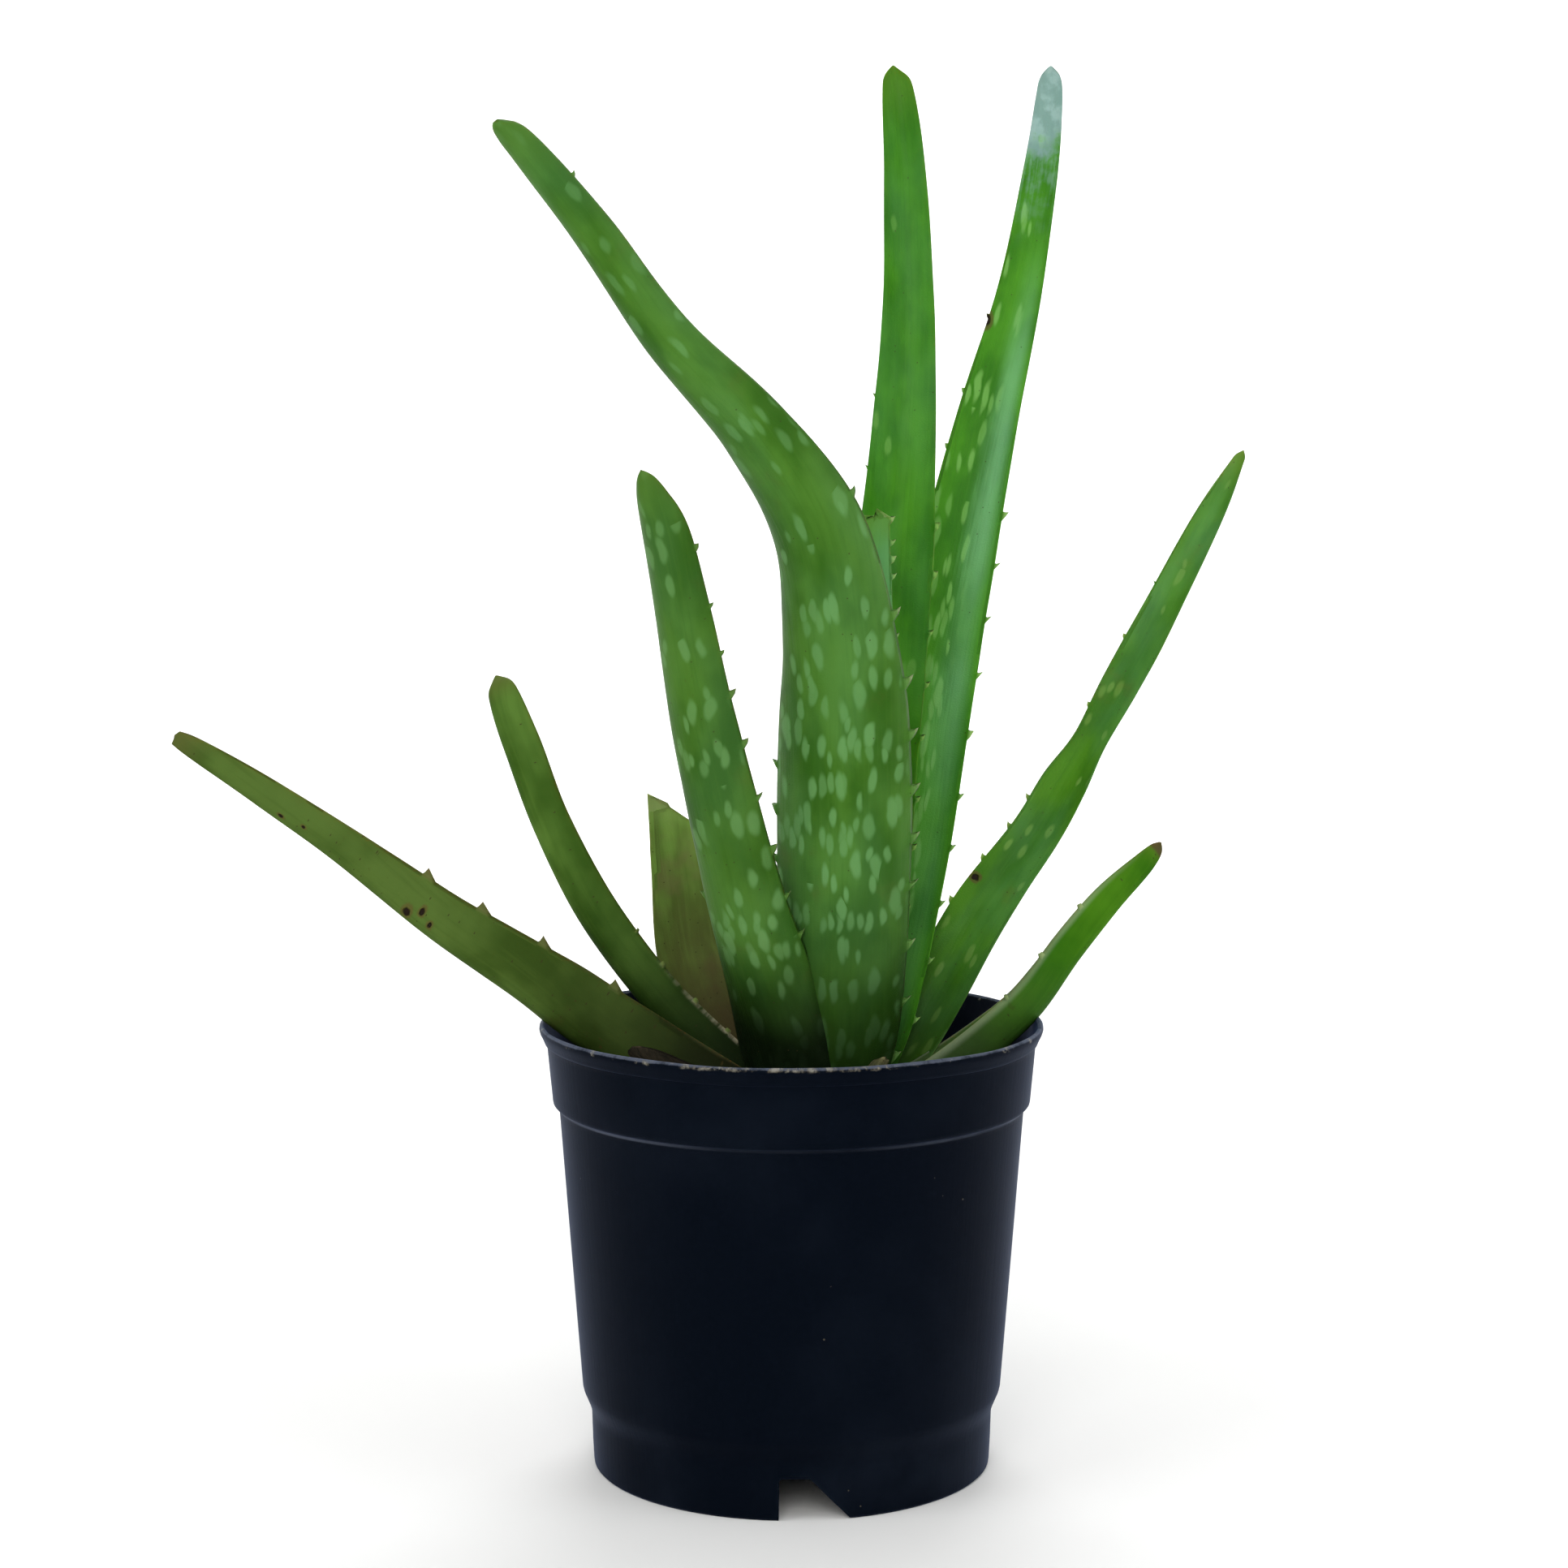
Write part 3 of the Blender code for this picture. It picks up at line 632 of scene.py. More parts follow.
leaves["leaf_tall_bent"] = {
    "path": [(8, -4, 90, 25), (10.5, -9, 107, 30), (11.5, -15, 138, 32), (11.5, -21, 170, 32),
        (10.5, -26, 197, 27.5), (5.5, -31, 224, 22), (-8.5, -35, 246, 16.5), (-28, -38, 267, 12),
        (-44, -40, 289.5, 10), (-57, -42, 305.5, 8), (-64.5, -43, 313.5, 5.5)],
    "hollow": [(0.1, 1.0, 0.1), (0.3, 1.0, 0.0)], "thick": 0.22, "cup": 0.12, "tip": 0.6,
    "slant": 0.6, "round": 2.2, "ragged": 0.25,
    "teeth": [(-1, 14, 130, 13.5, 2.1), (-1, 145, 152, 14, 1.4), (1, 24, 96, 12.5, 1.5),
        (-1, 236, 250, 20, 0.9)],
    "skin": spotted, "seed": 12, "tint": (0.98, 0.94, 1.02), "gloss": 0.05,
    "spots": 0.78, "spotGrid": (2.8, 1.0), "spotFade": 0.85, "bloomAndSheen": 0.06, "brown": 0.05,
    "shade": (1.4, 7.2), "specks": 0.1,
}
leaves["leaf_tall_right"] = {
    "path": [(14, 9, 90, 17), (21.5, 10, 108, 17.5), (29, 14, 145, 18.5), (34.5, 19, 184, 20),
        (40.5, 25, 217, 19), (48, 32, 250, 15.5), (56, 41, 280, 11.5), (61.7, 50, 310, 9),
        (64, 54, 328, 7.2), (64.5, 56, 337, 4.8)],
    "hollow": [(-0.05, -1.0, 0.1), (-0.3, -1.0, 0.1)], "thick": 0.24, "cup": 0.07, "tip": 0.4,
    "round": 2.6,
    "teeth": [(1, 10, 150, 13.5, 1.5), (-1, 60, 150, 16, 1.3), (-1, 160, 200, 17, 0.8)],
    "skin": green, "seed": 21, "tint": (0.98, 1.03, 0.93),
    # the one-sided bloom on this leaf is a painted sheen
    "spots": 0.85, "spotGrid": (3.8, 0.8), "spotFade": 0.15, "spotLimit": 0.25, "bloomAndSheen": 0.55,
    "paintedSheenFrom": (-0.25, 0.60), "shade": (0.8, 3.8), "specks": 0.1, "frost": 2.6,
    "scars": [(-1.0, 0.748, 3.3, 1.8)],
}
leaves["leaf_right"] = {
    "path": [(18, 10, 89, 16), (30, 13, 103, 16.5), (46, 18, 130, 15.5), (60, 23, 149, 13.2),
        (67, 26.5, 160.5, 12.4), (73.5, 29.5, 171, 9.2), (81, 33, 184, 10.4), (89, 37, 198, 10.2),
        (104, 45, 225.5, 7.8), (113, 50, 242, 2.5)],
    "hollow": [(-0.4, -1.0, 0.3), (-0.45, -0.9, 0.4)], "thick": 0.24, "cup": 0.08, "tip": 0.35,
    "round": 2.0, "teeth": [(-1, 22, 92, 11.5, 1.2), (-1, 112, 150, 18, 0.8)],
    "skin": green, "seed": 31, "tint": (0.98, 0.82, 0.66),
    "spots": 0.16, "spotGrid": (3.4, 1.3), "bloomAndSheen": 0.15, "brown": 0.08, "shade": (0.3, 6.4),
    "specks": 0.3, "stains": 0.3, "scars": [(-0.80, 0.350, 1.7, 1.0)],
}
leaves["leaf_front_left"] = {
    "path": [(2.5, -10, 88, 22), (-1, -15, 103, 24), (-6, -20, 121, 21.5), (-11.5, -25, 140.5, 19),
        (-20, -36, 179, 16), (-24.5, -43, 205, 13.5), (-28, -48, 223, 11.5), (-31, -51, 232, 7.5),
        (-33, -52, 237.5, 2.5)],
    "hollow": [(0.1, 1.0, 0.2), (0.4, 1.0, 0.3)], "thick": 0.24, "cup": 0.12, "tip": 0.35,
    "round": 1.2,
    "teeth": [(-1, 22, 110, 12.5, 1.6), (-1, 118, 146, 14, 1.0), (1, 60, 64, 20, 1.2)],
    "skin": spotted, "seed": 43, "tint": (0.92, 0.84, 0.84), "gloss": 0.05,
    "spots": 0.78, "spotGrid": (2.7, 1.05), "bloomAndSheen": 0.05, "brown": 0.08, "shade": (3.2, 6.4),
    "shadeLean": 0.5, "baseTone": srgb(9, 17, 7), "specks": 0.25, "stains": 0.15,
}
leaves["leaf_left"] = {
    "path": [(-5, 4, 88, 12), (-16, 7, 96.5, 12.5), (-32, 10, 112, 12.5), (-46.5, 14, 131, 12.5),
        (-58, 19, 152, 11.5), (-65.5, 24, 171, 11.5), (-70, 28, 182, 9.5), (-72.5, 30, 187, 5)],
    "hollow": [(0.6, 0.8, 0.5), (0.8, 0.7, 0.4)], "thick": 0.32, "cup": 0.14, "tip": 0.5,
    "round": 3.5, "teeth": [(-1, 20, 66, 12, 0.9)],
    "skin": olive, "seed": 51, "tint": (0.90, 1.08, 1.15), "gloss": 0.03, "rough": 0.55,
    "brown": 0.12, "shade": (1.8, 9.5), "specks": 0.4, "stains": 0.15, "dryEdge": 0.6,
}
leaves["leaf_broken_left"] = {
    "path": [(-3, 15, 91, 13), (-13, 16, 99, 16.5), (-20, 17, 107, 18), (-25, 19, 121, 17),
        (-27.5, 22, 139, 14), (-29.5, 25, 155, 11.5)],
    "hollow": [(0.3, -1.0, 0.3), (0.1, -1.0, 0.1)], "thick": 0.16, "cup": 0.10, "tip": 0.95,
    "slant": -0.95, "round": 0.4, "ragged": 0.9, "teeth": [(-1, 30, 40, 14, 0.9)],
    "skin": tawny, "seed": 63, "tint": (0.96, 1.22, 1.22), "gloss": 0.03, "rough": 0.55,
    "spots": 0.05, "brown": 0.55, "shade": (2.2, 4.6), "specks": 0.5, "stains": 0.35,
    "hem": (3.4, 8.0), "dryEdge": 1.7,
}
leaves["leaf_low_left"] = {
    "path": [(-12, -3, 87, 18), (-30, -1, 97.5, 19), (-50, 1, 110.7, 18), (-63, 2, 119.2, 15.5),
        (-84.5, 5, 132.5, 13), (-106, 8, 147.5, 10), (-127, 11, 161, 8), (-142, 13, 170, 6),
        (-148.5, 14, 173.5, 4)],
    "hollow": [(0.3, 0.7, 0.8), (0.3, 0.7, 0.8)], "thick": 0.34, "cup": 0.20, "tip": 0.95,
    "round": 0.6, "ragged": 0.7, "teeth": [(-1, 42, 100, 17.5, 1.7), (1, 20, 110, 16, 1.1)],
    "toothBase": 1.1, "toothStep": 0.1, "toothLift": 0.65,
    "skin": olive, "seed": 77, "tint": (0.78, 0.82, 1.0), "gloss": 0.03, "rough": 0.55,
    "brown": 0.2, "shade": (1.6, 8.0), "specks": 1.0, "stains": 0.7, "flush": 0.05,
    "scars": [(-0.24, 0.590, 1.9, 1.0), (-0.52, 0.572, 1.2, 1.0), (-0.36, 0.553, 1.1, 1.0),
        (-0.30, 0.810, 1.5, 3.0), (-0.45, 0.775, 1.1, 2.6)],
}
leaves["leaf_low_right"] = {
    "path": [(21, 2, 88, 13), (33, 2, 95, 13.5), (45, 3, 103.5, 13), (55, 5, 112, 12),
        (65, 9, 124, 10.5), (75, 12, 135, 9), (84.5, 15, 143, 6.3), (89.5, 16, 147.5, 3)],
    "hollow": [(-0.45, 0.0, 0.9), (-0.55, 0.45, 0.7)], "thick": 0.36, "cup": 0.20, "tip": 0.5,
    "round": 1.6, "ragged": 0.2, "teeth": [(1, 40, 70, 15, 0.8)],
    "skin": green, "seed": 85, "tint": (0.92, 0.74, 0.62), "gloss": 0.04, "rough": 0.5,
    "spots": 0.06, "brown": 0.12, "shade": (2.0, 7.0), "baseTone": srgb(56, 74, 42), "specks": 0.5,
    "stains": 0.25, "rimLine": 0.3, "deadTip": 0.2,
}
dryPaper = {"slot": "dry_leaf", "dark": (44, 46, 28), "light": (92, 94, 62), "spot": (120, 100, 70),
    "edge": (132, 128, 96), "base": (24, 24, 14), "tip": (112, 108, 72), "brown": (78, 64, 42),
    "tooth": (120, 110, 80)}
dryDark = {**dryPaper, "dark": (14, 14, 9), "light": (50, 44, 32), "edge": (76, 66, 50),
    "tip": (40, 34, 24), "brown": (44, 34, 24)}
leaves["dry_sheath_left"] = {
    "path": [(-15, -12, 88, 9), (-24, -15, 94, 10), (-33, -17, 100, 7), (-38, -18, 103, 3)],
    "hollow": [(0.5, 0.9, 0.6), (0.5, 0.9, 0.6)], "thick": 0.16, "cup": 0.22, "tip": 0.6,
    "round": 0.5, "ragged": 1.2,
    "skin": dryDark, "seed": 91, "dry": True, "brown": 0.6,
    "shade": (0.5, 2.0), "specks": 0.4,
}
leaves["dry_sheath_front"] = {
    "path": [(17, -13, 86, 8), (18.5, -15, 91, 8), (20, -16, 97, 5.5), (22, -17, 101, 2.5)],
    "hollow": [(0.1, 1.0, 0.2), (0.1, 1.0, 0.2)], "thick": 0.16, "cup": 0.22, "tip": 0.6,
    "round": 0.5, "ragged": 1.2,
    "skin": dryPaper, "seed": 97, "dry": True, "brown": 0.6,
    "shade": (0.5, 1.6), "specks": 0.4,
}

# how blades are built
blade = {
    "sides": 28,         # points round a blade, a multiple of four so that some lie on its edges
    "ringGap": 0.9,      # mm between rings along a blade
    "rootIn": 9.0,       # mm that a blade runs on below its first path point, into the mix
    "rootRings": 6,      # path rows in that stretch
    "pathSteps": 24,     # path rows between two points of a path
    "ringCrowd": 0.35,   # how much closer the rings are towards the tip
    "overShare": 0.15,   # bulge of the hollow side, as a share of the other side's
    "tearReach": 8.0,    # mm of a slanting or torn end
}


def leafPlace(paint, seed):
    # where a point lies on its blade, from the two attributes that storePattern writes
    across, along, side = paint.parts(
        paint.node("ShaderNodeAttribute", {"attribute_name": "bladeCm"}, out=1))
    acrossShare, alongShare, _ = paint.parts(
        paint.node("ShaderNodeAttribute", {"attribute_name": "bladeShare"}, out=1))
    flat = paint.join(across + seed * 3.1, along + side * 41.0 + seed, seed)
    return SimpleNamespace(
        seed=seed, across=across, along=along, acrossShare=acrossShare, alongShare=alongShare,
        edge=abs(acrossShare), flat=flat,
        broad=paint.cloud(paint.spread(flat, 0.9, 0.35, 1.0), 1.0, 3.0),
        fibre=paint.cloud(paint.spread(flat, 14.0, 0.35, 1.0), 1.0, 3.0))


def patchy(paint, at, across, along, detail):
    return paint.cloud(paint.spread(at.flat, across, along, 1.0), 1.0, detail)


def fleckMask(paint, leaf, at):
    # pale oval flecks in loose bands across the blade, thinning out towards the tip
    wobble = paint.cloud(paint.shift(at.flat, 7.0, 3.0, 0.0), 1.3, 1.5)
    scaleX, scaleY = leaf["spotGrid"]
    fleck = None
    for finer, move, share in ((1.0, 0.0, 1.0), (1.28, 5.3, 0.75)):
        grid = paint.shift(paint.spread(at.flat, scaleX * finer, scaleY * finer, 1.0),
                           move, move * 1.7, 0.0)
        grid = paint.node("ShaderNodeVectorMath", {"operation": "ADD"},
                          (grid, paint.join(wobble * 0.8, wobble * 0.35)))
        far, dice, middle = [paint.cells(grid, 1.0, 0.62, out=i) for i in range(3)]
        size = paint.parts(dice)
        # a whole fleck is there or not, so its band is read at its middle
        spotAlong = (paint.parts(middle)[1] - move * 1.7) / (scaleY * finer)
        band = paint.cloud(paint.join(spotAlong * 0.62, at.seed, 2.0), 1.0, 1.0)
        keep = leaf["spots"] * share * (1.15 - 0.85 * at.alongShare) \
            * (0.30 + 1.15 * paint.step(band, 0.42, 0.56))
        spot = paint.step(far - 0.15 * size[1], 0.29, 0.09) * keep.over(size[0]) \
            * (0.65 + 0.35 * size[2])
        fleck = spot if fleck is None else fleck.most(spot)
    fleck = fleck * paint.step(at.edge, 0.97, 0.90) \
        * (1.15 - leaf["spotFade"] * at.alongShare)
    if "spotLimit" in leaf:
        limit = leaf["spotLimit"]
        fleck = fleck * paint.step(at.acrossShare, limit + 0.15, limit - 0.1)
    return fleck


def bloomAndSheenMask(paint, leaf, at):
    # waxy bloom, lighter and bluer, in patches all over; from one side it is instead a painted sheen
    # that lights up that half of the blade
    if "paintedSheenFrom" not in leaf:
        return paint.step(patchy(paint, at, 0.8, 0.25, 2.0), 0.35, 0.65)
    first, full = leaf["paintedSheenFrom"]
    # painted sheen: lighter down one side of the blade, in streaks, fading out towards the base and
    # the tip
    sheenStreaks = paint.cloud(paint.join(at.along * 0.28, at.seed, 5.0), 1.0, 1.0)
    return paint.step(at.acrossShare + (at.broad - 0.5) * 0.7 + (at.fibre - 0.5) * 0.25,
                      first, full) \
        * paint.step(at.acrossShare, 1.0, 0.55) \
        * (0.55 + 0.45 * paint.step(sheenStreaks, 0.34, 0.54)) \
        * paint.step(at.alongShare, 0.86, 0.66) \
        * (0.30 + 0.70 * paint.step(at.alongShare, 0.28, 0.48))


def livingTone(paint, leaf, skin, at, fleck):
    # broad tone, fibres that run the length of the blade, flecks, waxy bloom (on one-sided leaves a
    # painted sheen), and painted shade at the base
    colour = paint.blend(skin["dark"], skin["light"], paint.step(at.broad, 0.34, 0.66))
    colour = colour.under(skin["light"], paint.step(at.fibre, 0.5, 0.75) * 0.25)
    colour = colour.under(skin["dark"], paint.step(at.fibre, 0.5, 0.28) * 0.25)
    colour = colour.under(skin["spot"], fleck)
    # waxy bloom; where it comes from one side it is a painted sheen
    if leaf["bloomAndSheen"]:
        colour = colour.under(srgb(130, 190, 140), bloomAndSheenMask(paint, leaf, at) * leaf["bloomAndSheen"])
    brown = leaf["brown"]
    if brown:
        tinge = paint.step(patchy(paint, at, 0.6, 0.5, 4.0),
                           0.62 - 0.3 * brown, 0.80 - 0.2 * brown)
        colour = colour.under(skin["brown"], tinge * min(1.0, 0.35 + brown) * 0.7)
    # painted shade: the foot of the blade darkened where it sits deep in the pot among the other
    # leaves
    full, none = leaf["shade"]
    low = paint.step(at.along + (at.broad - 0.5) * 0.8
                     - at.acrossShare * leaf["shadeLean"], none, full)
    return colour.under(leaf.get("baseTone", skin["base"]), low * 0.97)


def edgeTone(paint, leaf, skin, at, colour):
    # horny margin, dried in places, with pale teeth, and the tip
    colour = colour.under(skin["edge"], paint.step(at.edge, 0.968, 0.990) * 0.5)
    if "dryEdge" in leaf:
        dryLine = paint.step(at.edge, 0.93, 0.985) \
            * paint.step(at.along, leaf["dryEdge"] * 10, 2.0) \
            * paint.step(patchy(paint, at, 4.0, 3.4, 4.0), 0.40, 0.58)
        colour = colour.under(srgb(178, 172, 146), dryLine * 0.75)
    beyond = abs(at.across) - abs(at.across) / at.edge.most(0.5)      # cm out along a tooth
    colour = colour.under(skin["edge"], paint.step(beyond, 0.0, 0.03))
    colour = colour.under(skin["tooth"], paint.step(beyond, 0.06, 0.16) * 0.65)
    return colour.under(skin["tip"], paint.step(at.alongShare, 0.93, 1.0) * 0.6)


def wornTone(paint, leaf, skin, at, colour):
    if "flush" in leaf:       # brown flush on one side of the lower blade
        flush = paint.step(at.acrossShare + (at.broad - 0.5) * 1.2, 0.25, -0.55) \
            * paint.step(at.alongShare, 0.85, 0.35)
        colour = colour.under(skin["brown"], flush * leaf["flush"])
    if "hem" in leaf:         # brown all over low down
        full, none = leaf["hem"]
        colour = colour.under(srgb(88, 76, 50),
                             paint.step(at.along + at.broad, none, full) * 0.8)
    if "rimLine" in leaf:     # pale line along the margins
        colour = colour.under(srgb(168, 182, 150), paint.step(at.edge, 0.90, 0.975)
                             * paint.step(at.alongShare, 1.0, 0.75) * leaf["rimLine"])
    if "stains" in leaf:      # rusty marks that come in clusters
        patch = paint.step(patchy(paint, at, 0.8, 0.55, 1.0), 0.50, 0.62)
        grains = paint.shift(paint.spread(at.flat, 9.0, 4.5, 1.0), 3.0, 1.0, 0.0)
        marks = paint.step(paint.cloud(grains, 1.0, 2.0), 0.66, 0.74)
        colour = colour.under(srgb(58, 50, 24), marks * patch * leaf["stains"])
    # dark pin-prick specks
    grid = paint.shift(at.flat, 2.0, 9.0, 0.0)
    far, dice = [paint.cells(grid, 5.5, 1.0, out=i) for i in range(2)]
    share = 0.16 * leaf["specks"]
    speck = paint.step(far, 0.11, 0.05) * paint.step(paint.parts(dice)[0], share + 0.02, share)
    return colour.under(srgb(52, 44, 26), speck * 0.8)


def leafSkin(name, leaf):
    red, greenShare, blue = leaf["tint"]
    skin = {}
    for part, tone in leaf["skin"].items():
        if part != "slot":
            tone = srgb(*tone)
            skin[part] = (tone[0] * red, tone[1] * greenShare, tone[2] * blue, 1.0)
    paint = Paint(name + "_skin")
    at = leafPlace(paint, float(leaf["seed"]))
    fleck = fleckMask(paint, leaf, at)
    colour = livingTone(paint, leaf, skin, at, fleck)
    colour = edgeTone(paint, leaf, skin, at, colour)
    colour = wornTone(paint, leaf, skin, at, colour)
    rough = leaf["rough"] + at.broad * 0.12 + fleck * 0.06
    relief = at.fibre * 0.5 + fleck * 0.25 + paint.cloud(at.flat, 26.0, 2.0) * 0.3

    # healed scars with a dark middle and a brown rim
    for s, t, radius, stretch in leaf["scars"]:
        off = paint.join((at.across - s * leaf["scarWidth"][t]) * stretch,
                         (at.alongShare - t) * leaf["lengthCm"])
        far = paint.node("ShaderNodeVectorMath", {"operation": "LENGTH"}, (off,), out=1)
        far = far + (paint.cloud(at.flat, 9.0, 3.0) - 0.5) * 0.10
        rim = paint.step(far, radius / 10, radius / 14)
        core = paint.step(far, radius / 18, radius / 30)
        colour = colour.under(srgb(84, 78, 40), rim * 0.8)
        colour = colour.under(srgb(34, 26, 20), core)
        relief = relief - core * 3.0
        rough = rough + rim * 0.3

    reach = leaf["lengthCm"] * (1.0 - at.alongShare)      # cm from the tip
    if "frost" in leaf:      # blue-grey wax on the last stretch, in streaks where it starts
        frost = leaf["frost"]
        streaky = patchy(paint, at, 3.0, 2.0, 3.0)
        film = paint.step(reach + (streaky - 0.5) * 2.2 + at.acrossShare * 0.25,
                          frost, frost * 0.66)
        film = film.most(paint.step(reach, frost * 1.9, frost * 0.9)
                         * paint.step(streaky * 0.6 + at.fibre * 0.4, 0.42, 0.62) * 0.35)
        wax = paint.blend(srgb(120, 150, 148), srgb(144, 172, 172), paint.step(streaky, 0.42, 0.66))
        colour = colour.under(wax, film * 0.88)
        rough = rough + film * 0.15
    if "deadTip" in leaf:    # shrivelled brown end
        dead = paint.step(reach + (at.broad - 0.5) * 0.3, leaf["deadTip"] * 1.6, leaf["deadTip"])
        colour = colour.under(srgb(76, 60, 42), dead * 0.85)
        rough = rough + dead * 0.35
    if leaf["dry"]:
        crease = paint.cloud(paint.spread(at.flat, 9.0, 1.2, 1.0), 1.0, 4.0, 0.7)
        colour = colour.under(skin["dark"], paint.step(crease, 0.55, 0.35) * 0.7)
        return paint.set(colour=colour, rough=0.8, specular=0.1,
                         normal=paint.bump(crease, 0.0012))
    return paint.set(colour=colour, rough=rough, specular=leaf["gloss"],
                     normal=paint.bump(relief, 0.00022),
                     subsurface=0.05, subsurfaceScale=0.003)


def bladePath(leaf):
    # the smooth curve through the path's points, drawn finely, with a root end added below it
    knots = [np.array(point, dtype=float) for point in leaf["path"]]
    knots = [2 * knots[0] - knots[1]] + knots + [2 * knots[-1] - knots[-2]]
    rows, shares = [], []
    spans = len(knots) - 3
    steps = blade["pathSteps"]
    for span in range(spans):
        before, start, end, after = knots[span:span + 4]
        for step in range(steps + (span == spans - 1)):
            t = step / steps
            rows.append(0.5 * (2 * start + (end - before) * t
                               + (2 * before - 5 * start + 4 * end - after) * t ** 2
                               + (3 * start - before - 3 * end + after) * t ** 3))
            shares.append((span + t) / spans)
    rows = np.array(rows)
    lead = rows[0, :3] - rows[2, :3]
    lead /= np.linalg.norm(lead)
    lead = (lead * 0.7 + np.array([0, 0, -0.7])) * blade["rootIn"] / blade["rootRings"]
    root = [np.append(rows[0, :3] + lead * k, rows[0, 3]) for k in range(blade["rootRings"], 0, -1)]
    rows = np.vstack([root, rows])
    shares = np.array([0.0] * blade["rootRings"] + shares)
    gaps = np.linalg.norm(np.diff(rows[:, :3], axis=0), axis=1)
    return rows, shares, np.concatenate([[0.0], np.cumsum(gaps)])


def endTaper(leaf, z, total):
    # share of the width that is left: it narrows to the last width, then rounds off
    last = leaf["path"][-1][3]
    ending = np.clip((z - (total - last)) / last, 0, 1)
    left = np.clip((total - z) / leaf["round"], 0, 1)
    rounding = np.sqrt(np.clip(1 - (1 - left) ** 2, 0.02, 1))
    return (1 - (1 - leaf["tip"]) * ending ** 2) * rounding


def straightTube(name, total):
    # a drum of unit size whose side is cut into rings, in two goes
    rings = int(total / blade["ringGap"])
    firstCuts = max(2, int(round(rings ** 0.5)))
    secondCuts = max(2, int(round(rings / firstCuts)))
    selectNone()
    bpy.ops.mesh.primitive_cylinder_add(vertices=blade["sides"], radius=1.0, depth=1.0,
                                        location=(0, 0, 0.5), end_fill_type="NGON")
    bpy.ops.object.transform_apply(location=True, rotation=False, scale=False)
    piece = editNew(name)
    for cuts in (firstCuts, secondCuts):
        bpy.ops.mesh.select_mode(type="EDGE")
        bpy.ops.mesh.select_all(action="DESELECT")
        editDone()
        places = coordinates(piece)
        for edge in piece.data.edges:
            a, b = edge.vertices
            edge.select = abs(places[a][2] - places[b][2]) > 1e-6
        bpy.ops.object.mode_set(mode="EDIT")
        bpy.ops.mesh.subdivide(number_cuts=cuts)
    editDone()
    return piece


def layBlade(piece, leaf, rows, lengths):
    # the straight blade: across on X, thickness on Y, length on Z
    total = lengths[-1]
    seed = leaf["seed"]
    places = coordinates(piece)
    turn = np.arctan2(places[:, 1], places[:, 0])
    t = places[:, 2]
    z = total * (t + blade["ringCrowd"] * t * (1 - t))
    width = np.interp(z, lengths, rows[:, 3])
    taper = endTaper(leaf, z, total)
    wave = np.array([noise.noise(Vector((v * 0.06, seed, 0))) for v in z])
    share = np.cos(turn)
    lift = np.sin(turn)
    x = width / 2 * taper * (0.98 + 0.02 * wave) * share
    channel = 2 * leaf["cup"] * width * taper * (share ** 2 - 0.5)
    bulge = np.where(lift > 0, leaf["thick"] * blade["overShare"], leaf["thick"]) * width * taper
    y = channel + bulge * np.sign(lift) * np.abs(lift) ** 1.1
    dents = np.array([noise.noise(Vector((a * 0.10, b * 0.05, seed * 1.7)))
                      for a, b in zip(x, z)])
    y = y + dents * 0.35 * np.clip(width / 20, 0.2, 1)
    nearEnd = np.clip(1 - (total - z) / blade["tearReach"], 0, 1) ** 2
    z = z + leaf["slant"] * x * nearEnd
    if leaf["ragged"]:
        tear = np.array([noise.noise(Vector((a * 0.9, b * 0.4, seed))) for a, b in zip(x, y)])
        z = z + tear * leaf["ragged"] * 1.6 * nearEnd
    setCoordinates(piece, np.stack([x, y, z], axis=1) * mm)


def pullTeeth(piece, leaf, rows, lengths):
    # pull the faces beside the edge out and forward, then pinch each patch to a point
    dice = random.Random(leaf["seed"])
    for sideSign, first, final, pitch, toothSize in leaf["teeth"]:
        wanted = []
        place = first + blade["rootIn"]
        while place <= final + blade["rootIn"]:
            wanted.append(place)
            place += pitch * dice.uniform(0.82, 1.18)
        if not wanted:
            continue
        straight = coordinates(piece) / mm
        shareAt = straight[:, 0] / np.maximum(np.interp(
            straight[:, 2], lengths, rows[:, 3]) / 2, 0.1)
        focus(piece)
        bpy.context.tool_settings.mesh_select_mode = (False, False, True)
        for polygon in piece.data.polygons:
            corners = list(polygon.vertices)
            middleZ = sum(straight[v][2] for v in corners) / len(corners)
            middleShare = sum(shareAt[v] for v in corners) / len(corners)
            close = any(abs(middleZ - w) <= leaf["toothBase"] * toothSize for w in wanted)
            polygon.select = bool(close and middleShare * sideSign > 0.945
                                  and abs(middleShare) < 1.02)
        bpy.ops.object.mode_set(mode="EDIT")
        size = toothSize * mm
        step = leaf["toothStep"]
        bpy.ops.mesh.inset(thickness=0.34 * size, depth=step * size, use_boundary=True)
        bpy.ops.transform.translate(value=(0, 0, size * 0.20))
        bpy.ops.mesh.extrude_region_move(TRANSFORM_OT_translate={
            "value": (sideSign * size * (0.96 - step), size * leaf["toothLift"], size * 0.62)})
        bpy.ops.mesh.merge(type="COLLAPSE")
        editDone()


def storePattern(piece, leaf, rows, lengths):
    # across, along and which side, in cm and as shares, read off the straight blade
    total = lengths[-1]
    x, y, z = (coordinates(piece) / mm).T
    width = np.interp(z, lengths, rows[:, 3])
    share = x / np.maximum(width / 2 * endTaper(leaf, z, total), 0.1)
    middle = 2 * leaf["cup"] * width * (np.clip(share, -1, 1) ** 2 - 0.5)
    hollowSide = (y > middle + 0.05 * width * leaf["thick"]).astype(float)
    storeVectors(piece, "bladeCm", np.stack([x / 10, z / 10, hollowSide], axis=1))
    storeVectors(piece, "bladeShare", np.stack(
        [share, np.clip(z / total, 0, 1), hollowSide], axis=1))
    leaf["lengthCm"] = total / 10
    leaf["scarWidth"] = {t: float(np.interp(t * total, lengths, rows[:, 3])) / 20
                         for _, t, _, _ in leaf["scars"]}


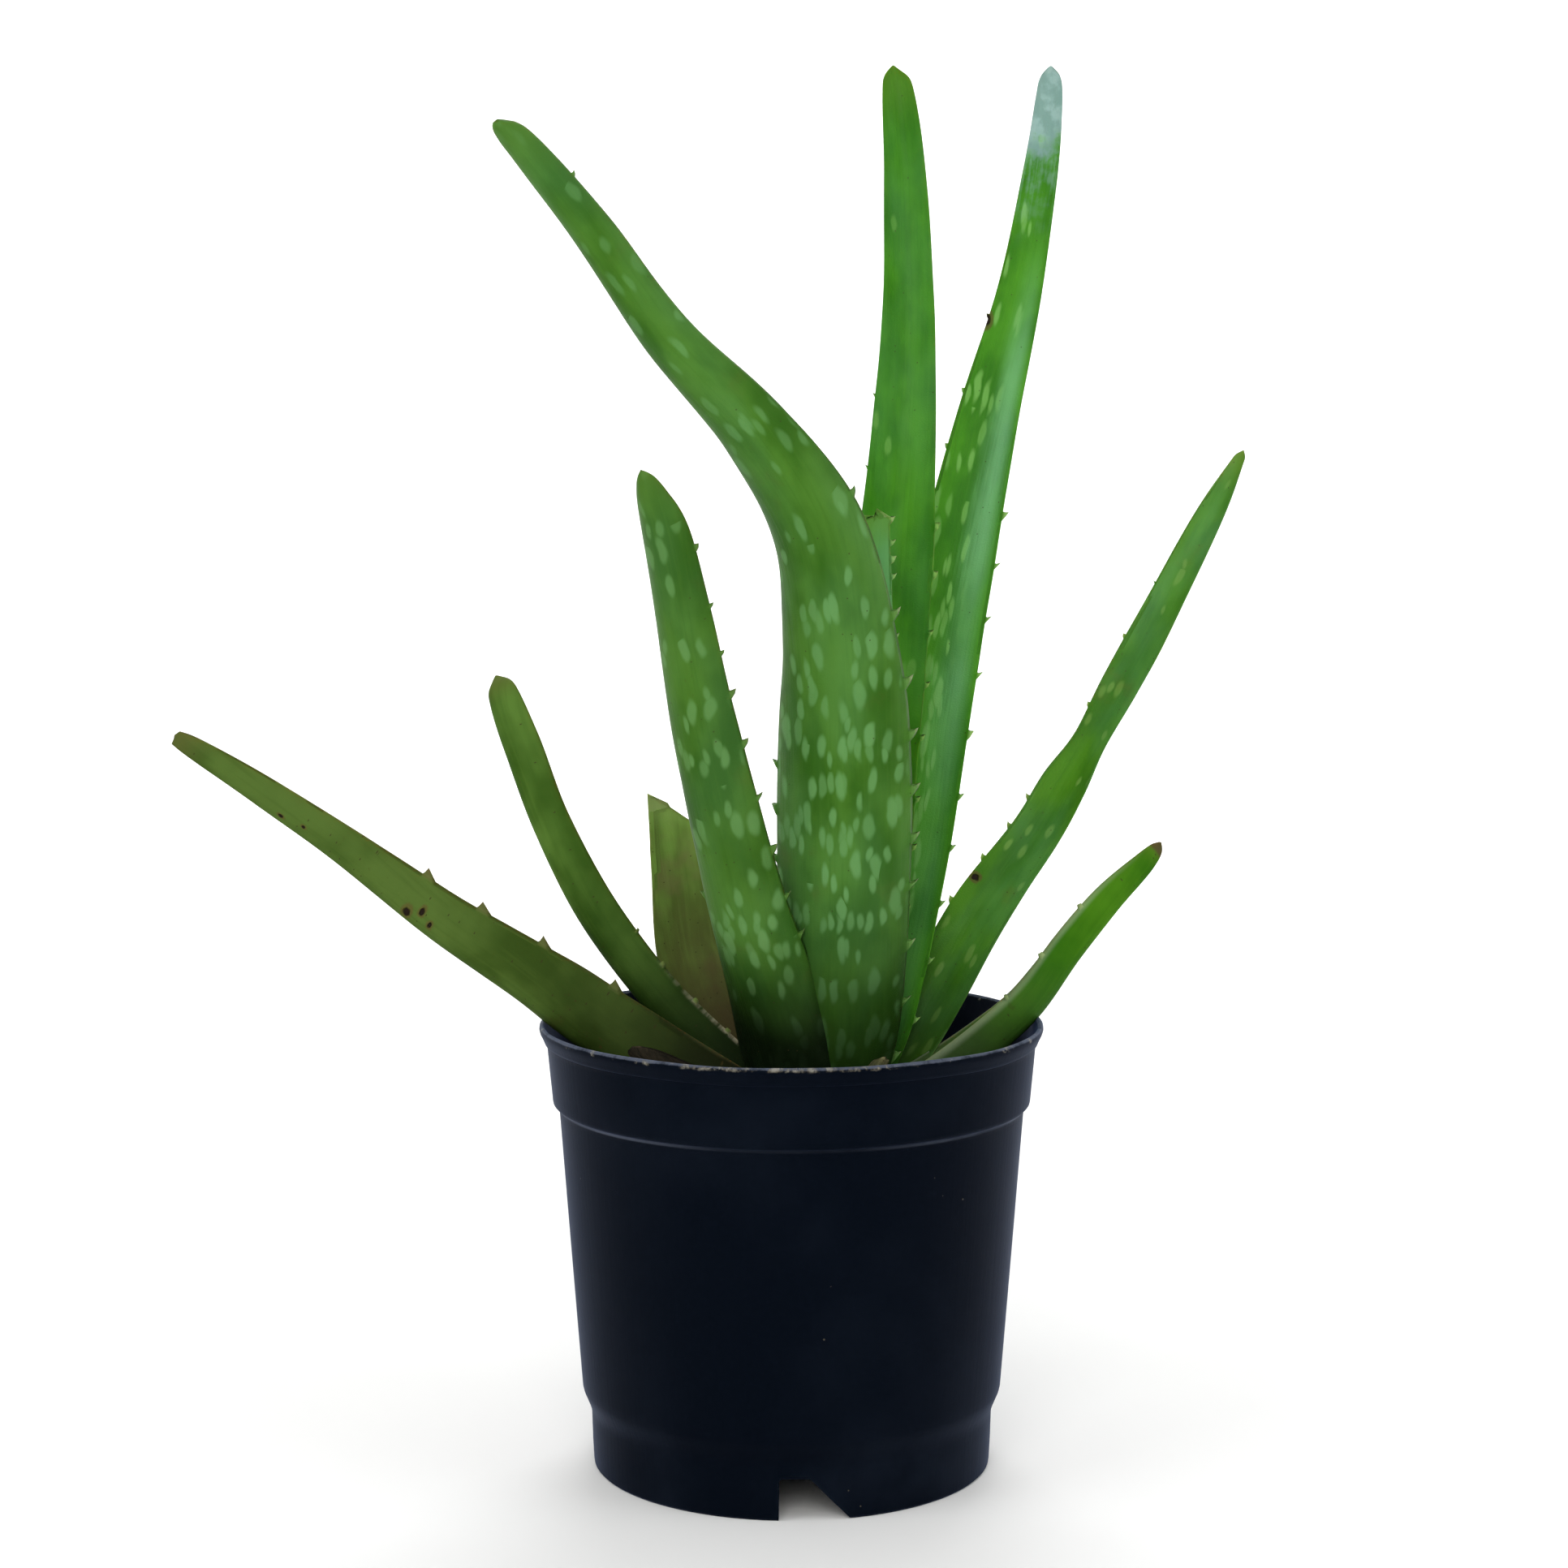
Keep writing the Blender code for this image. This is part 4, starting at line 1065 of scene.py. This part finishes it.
def bendBlade(piece, leaf, rows, shares, lengths):
    total = lengths[-1]
    x, y, height = (coordinates(piece) / mm).T
    z = np.clip(height, 0, total)

    def along(where):
        return np.stack([np.interp(where, lengths, rows[:, i]) for i in range(3)], axis=1)

    onward = along(np.clip(z + 1.5, 0, total)) - along(np.clip(z - 1.5, 0, total))
    onward /= np.linalg.norm(onward, axis=1, keepdims=True)
    turnShare = np.interp(z, lengths, shares)[:, None]
    hollow = (1 - turnShare) * np.array(leaf["hollow"][0]) \
        + turnShare * np.array(leaf["hollow"][1])
    sideways = np.cross(onward, hollow)
    sideways /= np.linalg.norm(sideways, axis=1, keepdims=True)
    up = np.cross(sideways, onward)
    placed = along(z) + sideways * x[:, None] + up * y[:, None] + onward * (height - z)[:, None]
    setCoordinates(piece, placed * mm)


def makeBlade(name, leaf):
    rows, shares, lengths = bladePath(leaf)
    piece = straightTube(name, lengths[-1])
    layBlade(piece, leaf, rows, lengths)
    pullTeeth(piece, leaf, rows, lengths)
    storePattern(piece, leaf, rows, lengths)
    bendBlade(piece, leaf, rows, shares, lengths)
    focus(piece)
    bpy.ops.object.mode_set(mode="EDIT")
    bpy.ops.mesh.select_all(action="SELECT")
    bpy.ops.mesh.normals_make_consistent(inside=False)
    editDone()
    settle(piece)
    finishPiece(piece, leafSkin(name, leaf), leaf["skin"]["slot"], name.replace("_blade", ""))


def makePlant():
    for name, leaf in leaves.items():
        makeBlade(name + "_blade", {**usualLeaf, **leaf})
        print("leaf done:", name)

    # the stem's own shape is right, so its solid stays and gets a corky skin
    paint = Paint("corkyStem")
    place = paint.node("ShaderNodeTexCoord", out=3)
    bark = paint.cloud(paint.spread(place, 1.0, 1.0, 2.5), 260.0, 5.0, 0.65)
    colour = paint.blend(srgb(92, 74, 44), srgb(158, 140, 92), paint.step(bark, 0.35, 0.68))
    material = paint.set(colour=colour, rough=0.85, specular=0.25,
                         normal=paint.bump(bark, 0.0006))
    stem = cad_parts["stem_with_roots"]
    for slot in stem.material_slots:
        slot.material = material
    print("plant done")


makeStudio()
makePot()
makeMix()
makePlant()
